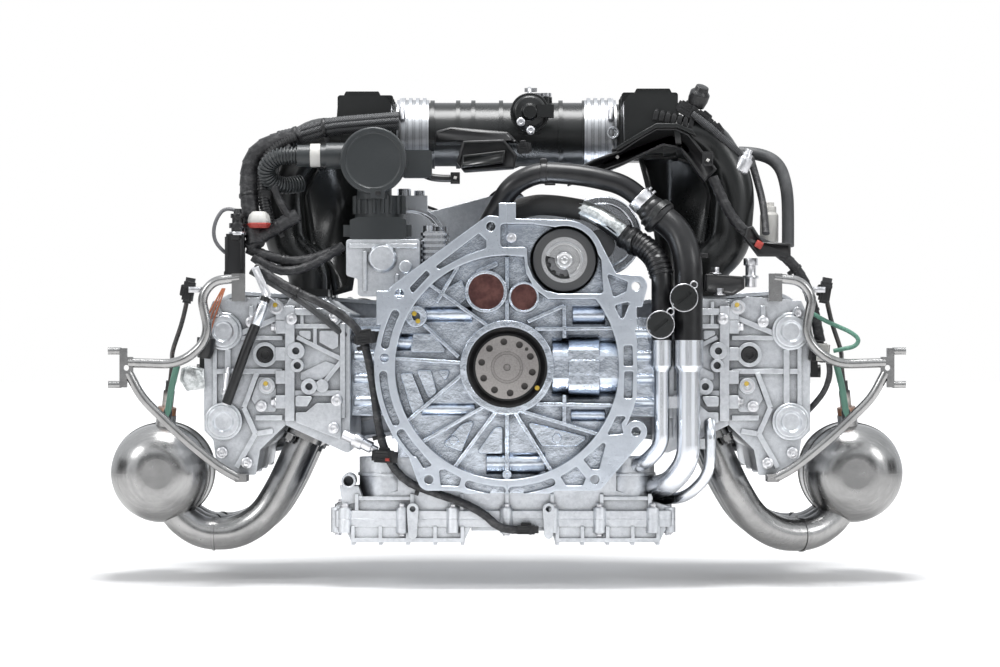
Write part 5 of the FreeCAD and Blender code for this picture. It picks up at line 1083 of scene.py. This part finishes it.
def studio():
    """A pale floor under a white surround, lit from above, with two boxes beside the camera."""
    bpy.ops.mesh.primitive_plane_add(size=FLOOR_SIZE, location=(0, 0, cad_box[0][2] - FLOOR_GAP))
    floor = bpy.context.object
    floor.name = "floor"
    paper = Finish("floor_paper")
    rays = paper.add("ShaderNodeLightPath")
    away = ((paper.x * paper.x * 0.5 + paper.y * paper.y * 0.25) ** 0.5).between(0.35, 1.3)
    seen = Wire(paper, rays.outputs["Is Camera Ray"]) * (PAPER_GLOW + (1.0 - PAPER_GLOW) * away)
    mirrored = paper.mirrored(rays)
    glow = paper.blend(seen + mirrored * 0.30, (0.0, 0.0, 0.0), (1.0, 1.0, 1.0))
    paper.wear(Base_Color=paper.blend(paper.noise(0.4, 2.0), (0.84, 0.84, 0.84), (0.88, 0.88, 0.88)),
               Roughness=0.9, Emission_Color=glow, Emission_Strength=1.0)
    floor.data.materials.append(paper.material)

    world = bpy.data.worlds.new("studio")
    bpy.context.scene.world = world
    world.use_nodes = True
    sky = Board(world.node_tree)
    rays = sky.add("ShaderNodeLightPath")
    way = sky.add("ShaderNodeSeparateXYZ",
                  Vector=Wire(sky, sky.add("ShaderNodeTexCoord").outputs["Generated"]))
    x, y, z = (Wire(sky, way.outputs[i]) for i in range(3))
    sideways = abs(x) / (x * x + y * y + 0.0001) ** 0.5
    behind = y.between(0.05, 0.45)
    boxes = sideways.between(0.40, 0.50) * (1.0 - sideways.between(0.84, 0.92))
    camera_side = 0.08 + 0.28 * (1.0 - sideways.between(0.08, 0.30)) + 1.3 * boxes
    around = camera_side * (1.0 - behind) + 0.95 * behind
    overhead = z.between(0.24, 0.42)
    tone = around * (1.0 - overhead) + 1.5 * overhead
    mirrored = sky.mirrored(rays)
    cool = sky.blend(tone, (0.0, 0.0, 0.0), (0.94, 0.97, 1.0))
    soft = sky.blend(z.between(-0.2, 0.9), (0.12, 0.125, 0.13), (0.42, 0.43, 0.45))
    lit = sky.blend(mirrored, soft, cool)
    seen = sky.blend(Wire(sky, rays.outputs["Is Camera Ray"]), lit, (1.0, 1.0, 1.0))
    back = sky.add("ShaderNodeBackground", Color=seen, Strength=1.0)
    sky.add("ShaderNodeOutputWorld", Surface=Wire(sky, back.outputs[0]))

    for name, place, aim, size, power in (
        ("top_box", (0.0, -0.2, 2.4), (0, 0.2, 0), 1.15, 74.0),
        ("left_box", (-2.4, -1.7, 1.5), (0, 0, 0), 0.8, 20.0),
        ("right_box", (2.4, -1.7, 1.3), (0, 0, 0), 0.8, 15.0),
    ):
        bpy.ops.object.light_add(type="AREA", location=place)
        lamp = bpy.context.object
        lamp.name = name
        lamp.data.size = size
        lamp.data.energy = power
        lamp.rotation_euler = (Vector(aim) - Vector(place)).to_track_quat("-Z", "Y").to_euler()


def camera():
    """The view along the crankshaft, from far off."""
    bpy.ops.object.camera_add(location=CAMERA_PLACE, rotation=(math.radians(90), 0, 0))
    cam = bpy.context.object
    cam.data.sensor_width = SENSOR
    cam.data.lens = SENSOR * CAMERA_DISTANCE / VIEW_WIDTH
    bpy.context.scene.camera = cam


dress_solids()
head_details()
bell_details()
looms()
relay_box()
separator_details()
left_sensors()
low_loom_plugs()
coolant_details()
top_right()
right_side()
intake_details()
alone()
studio()
camera()
bpy.context.scene.view_settings.view_transform = "Standard"
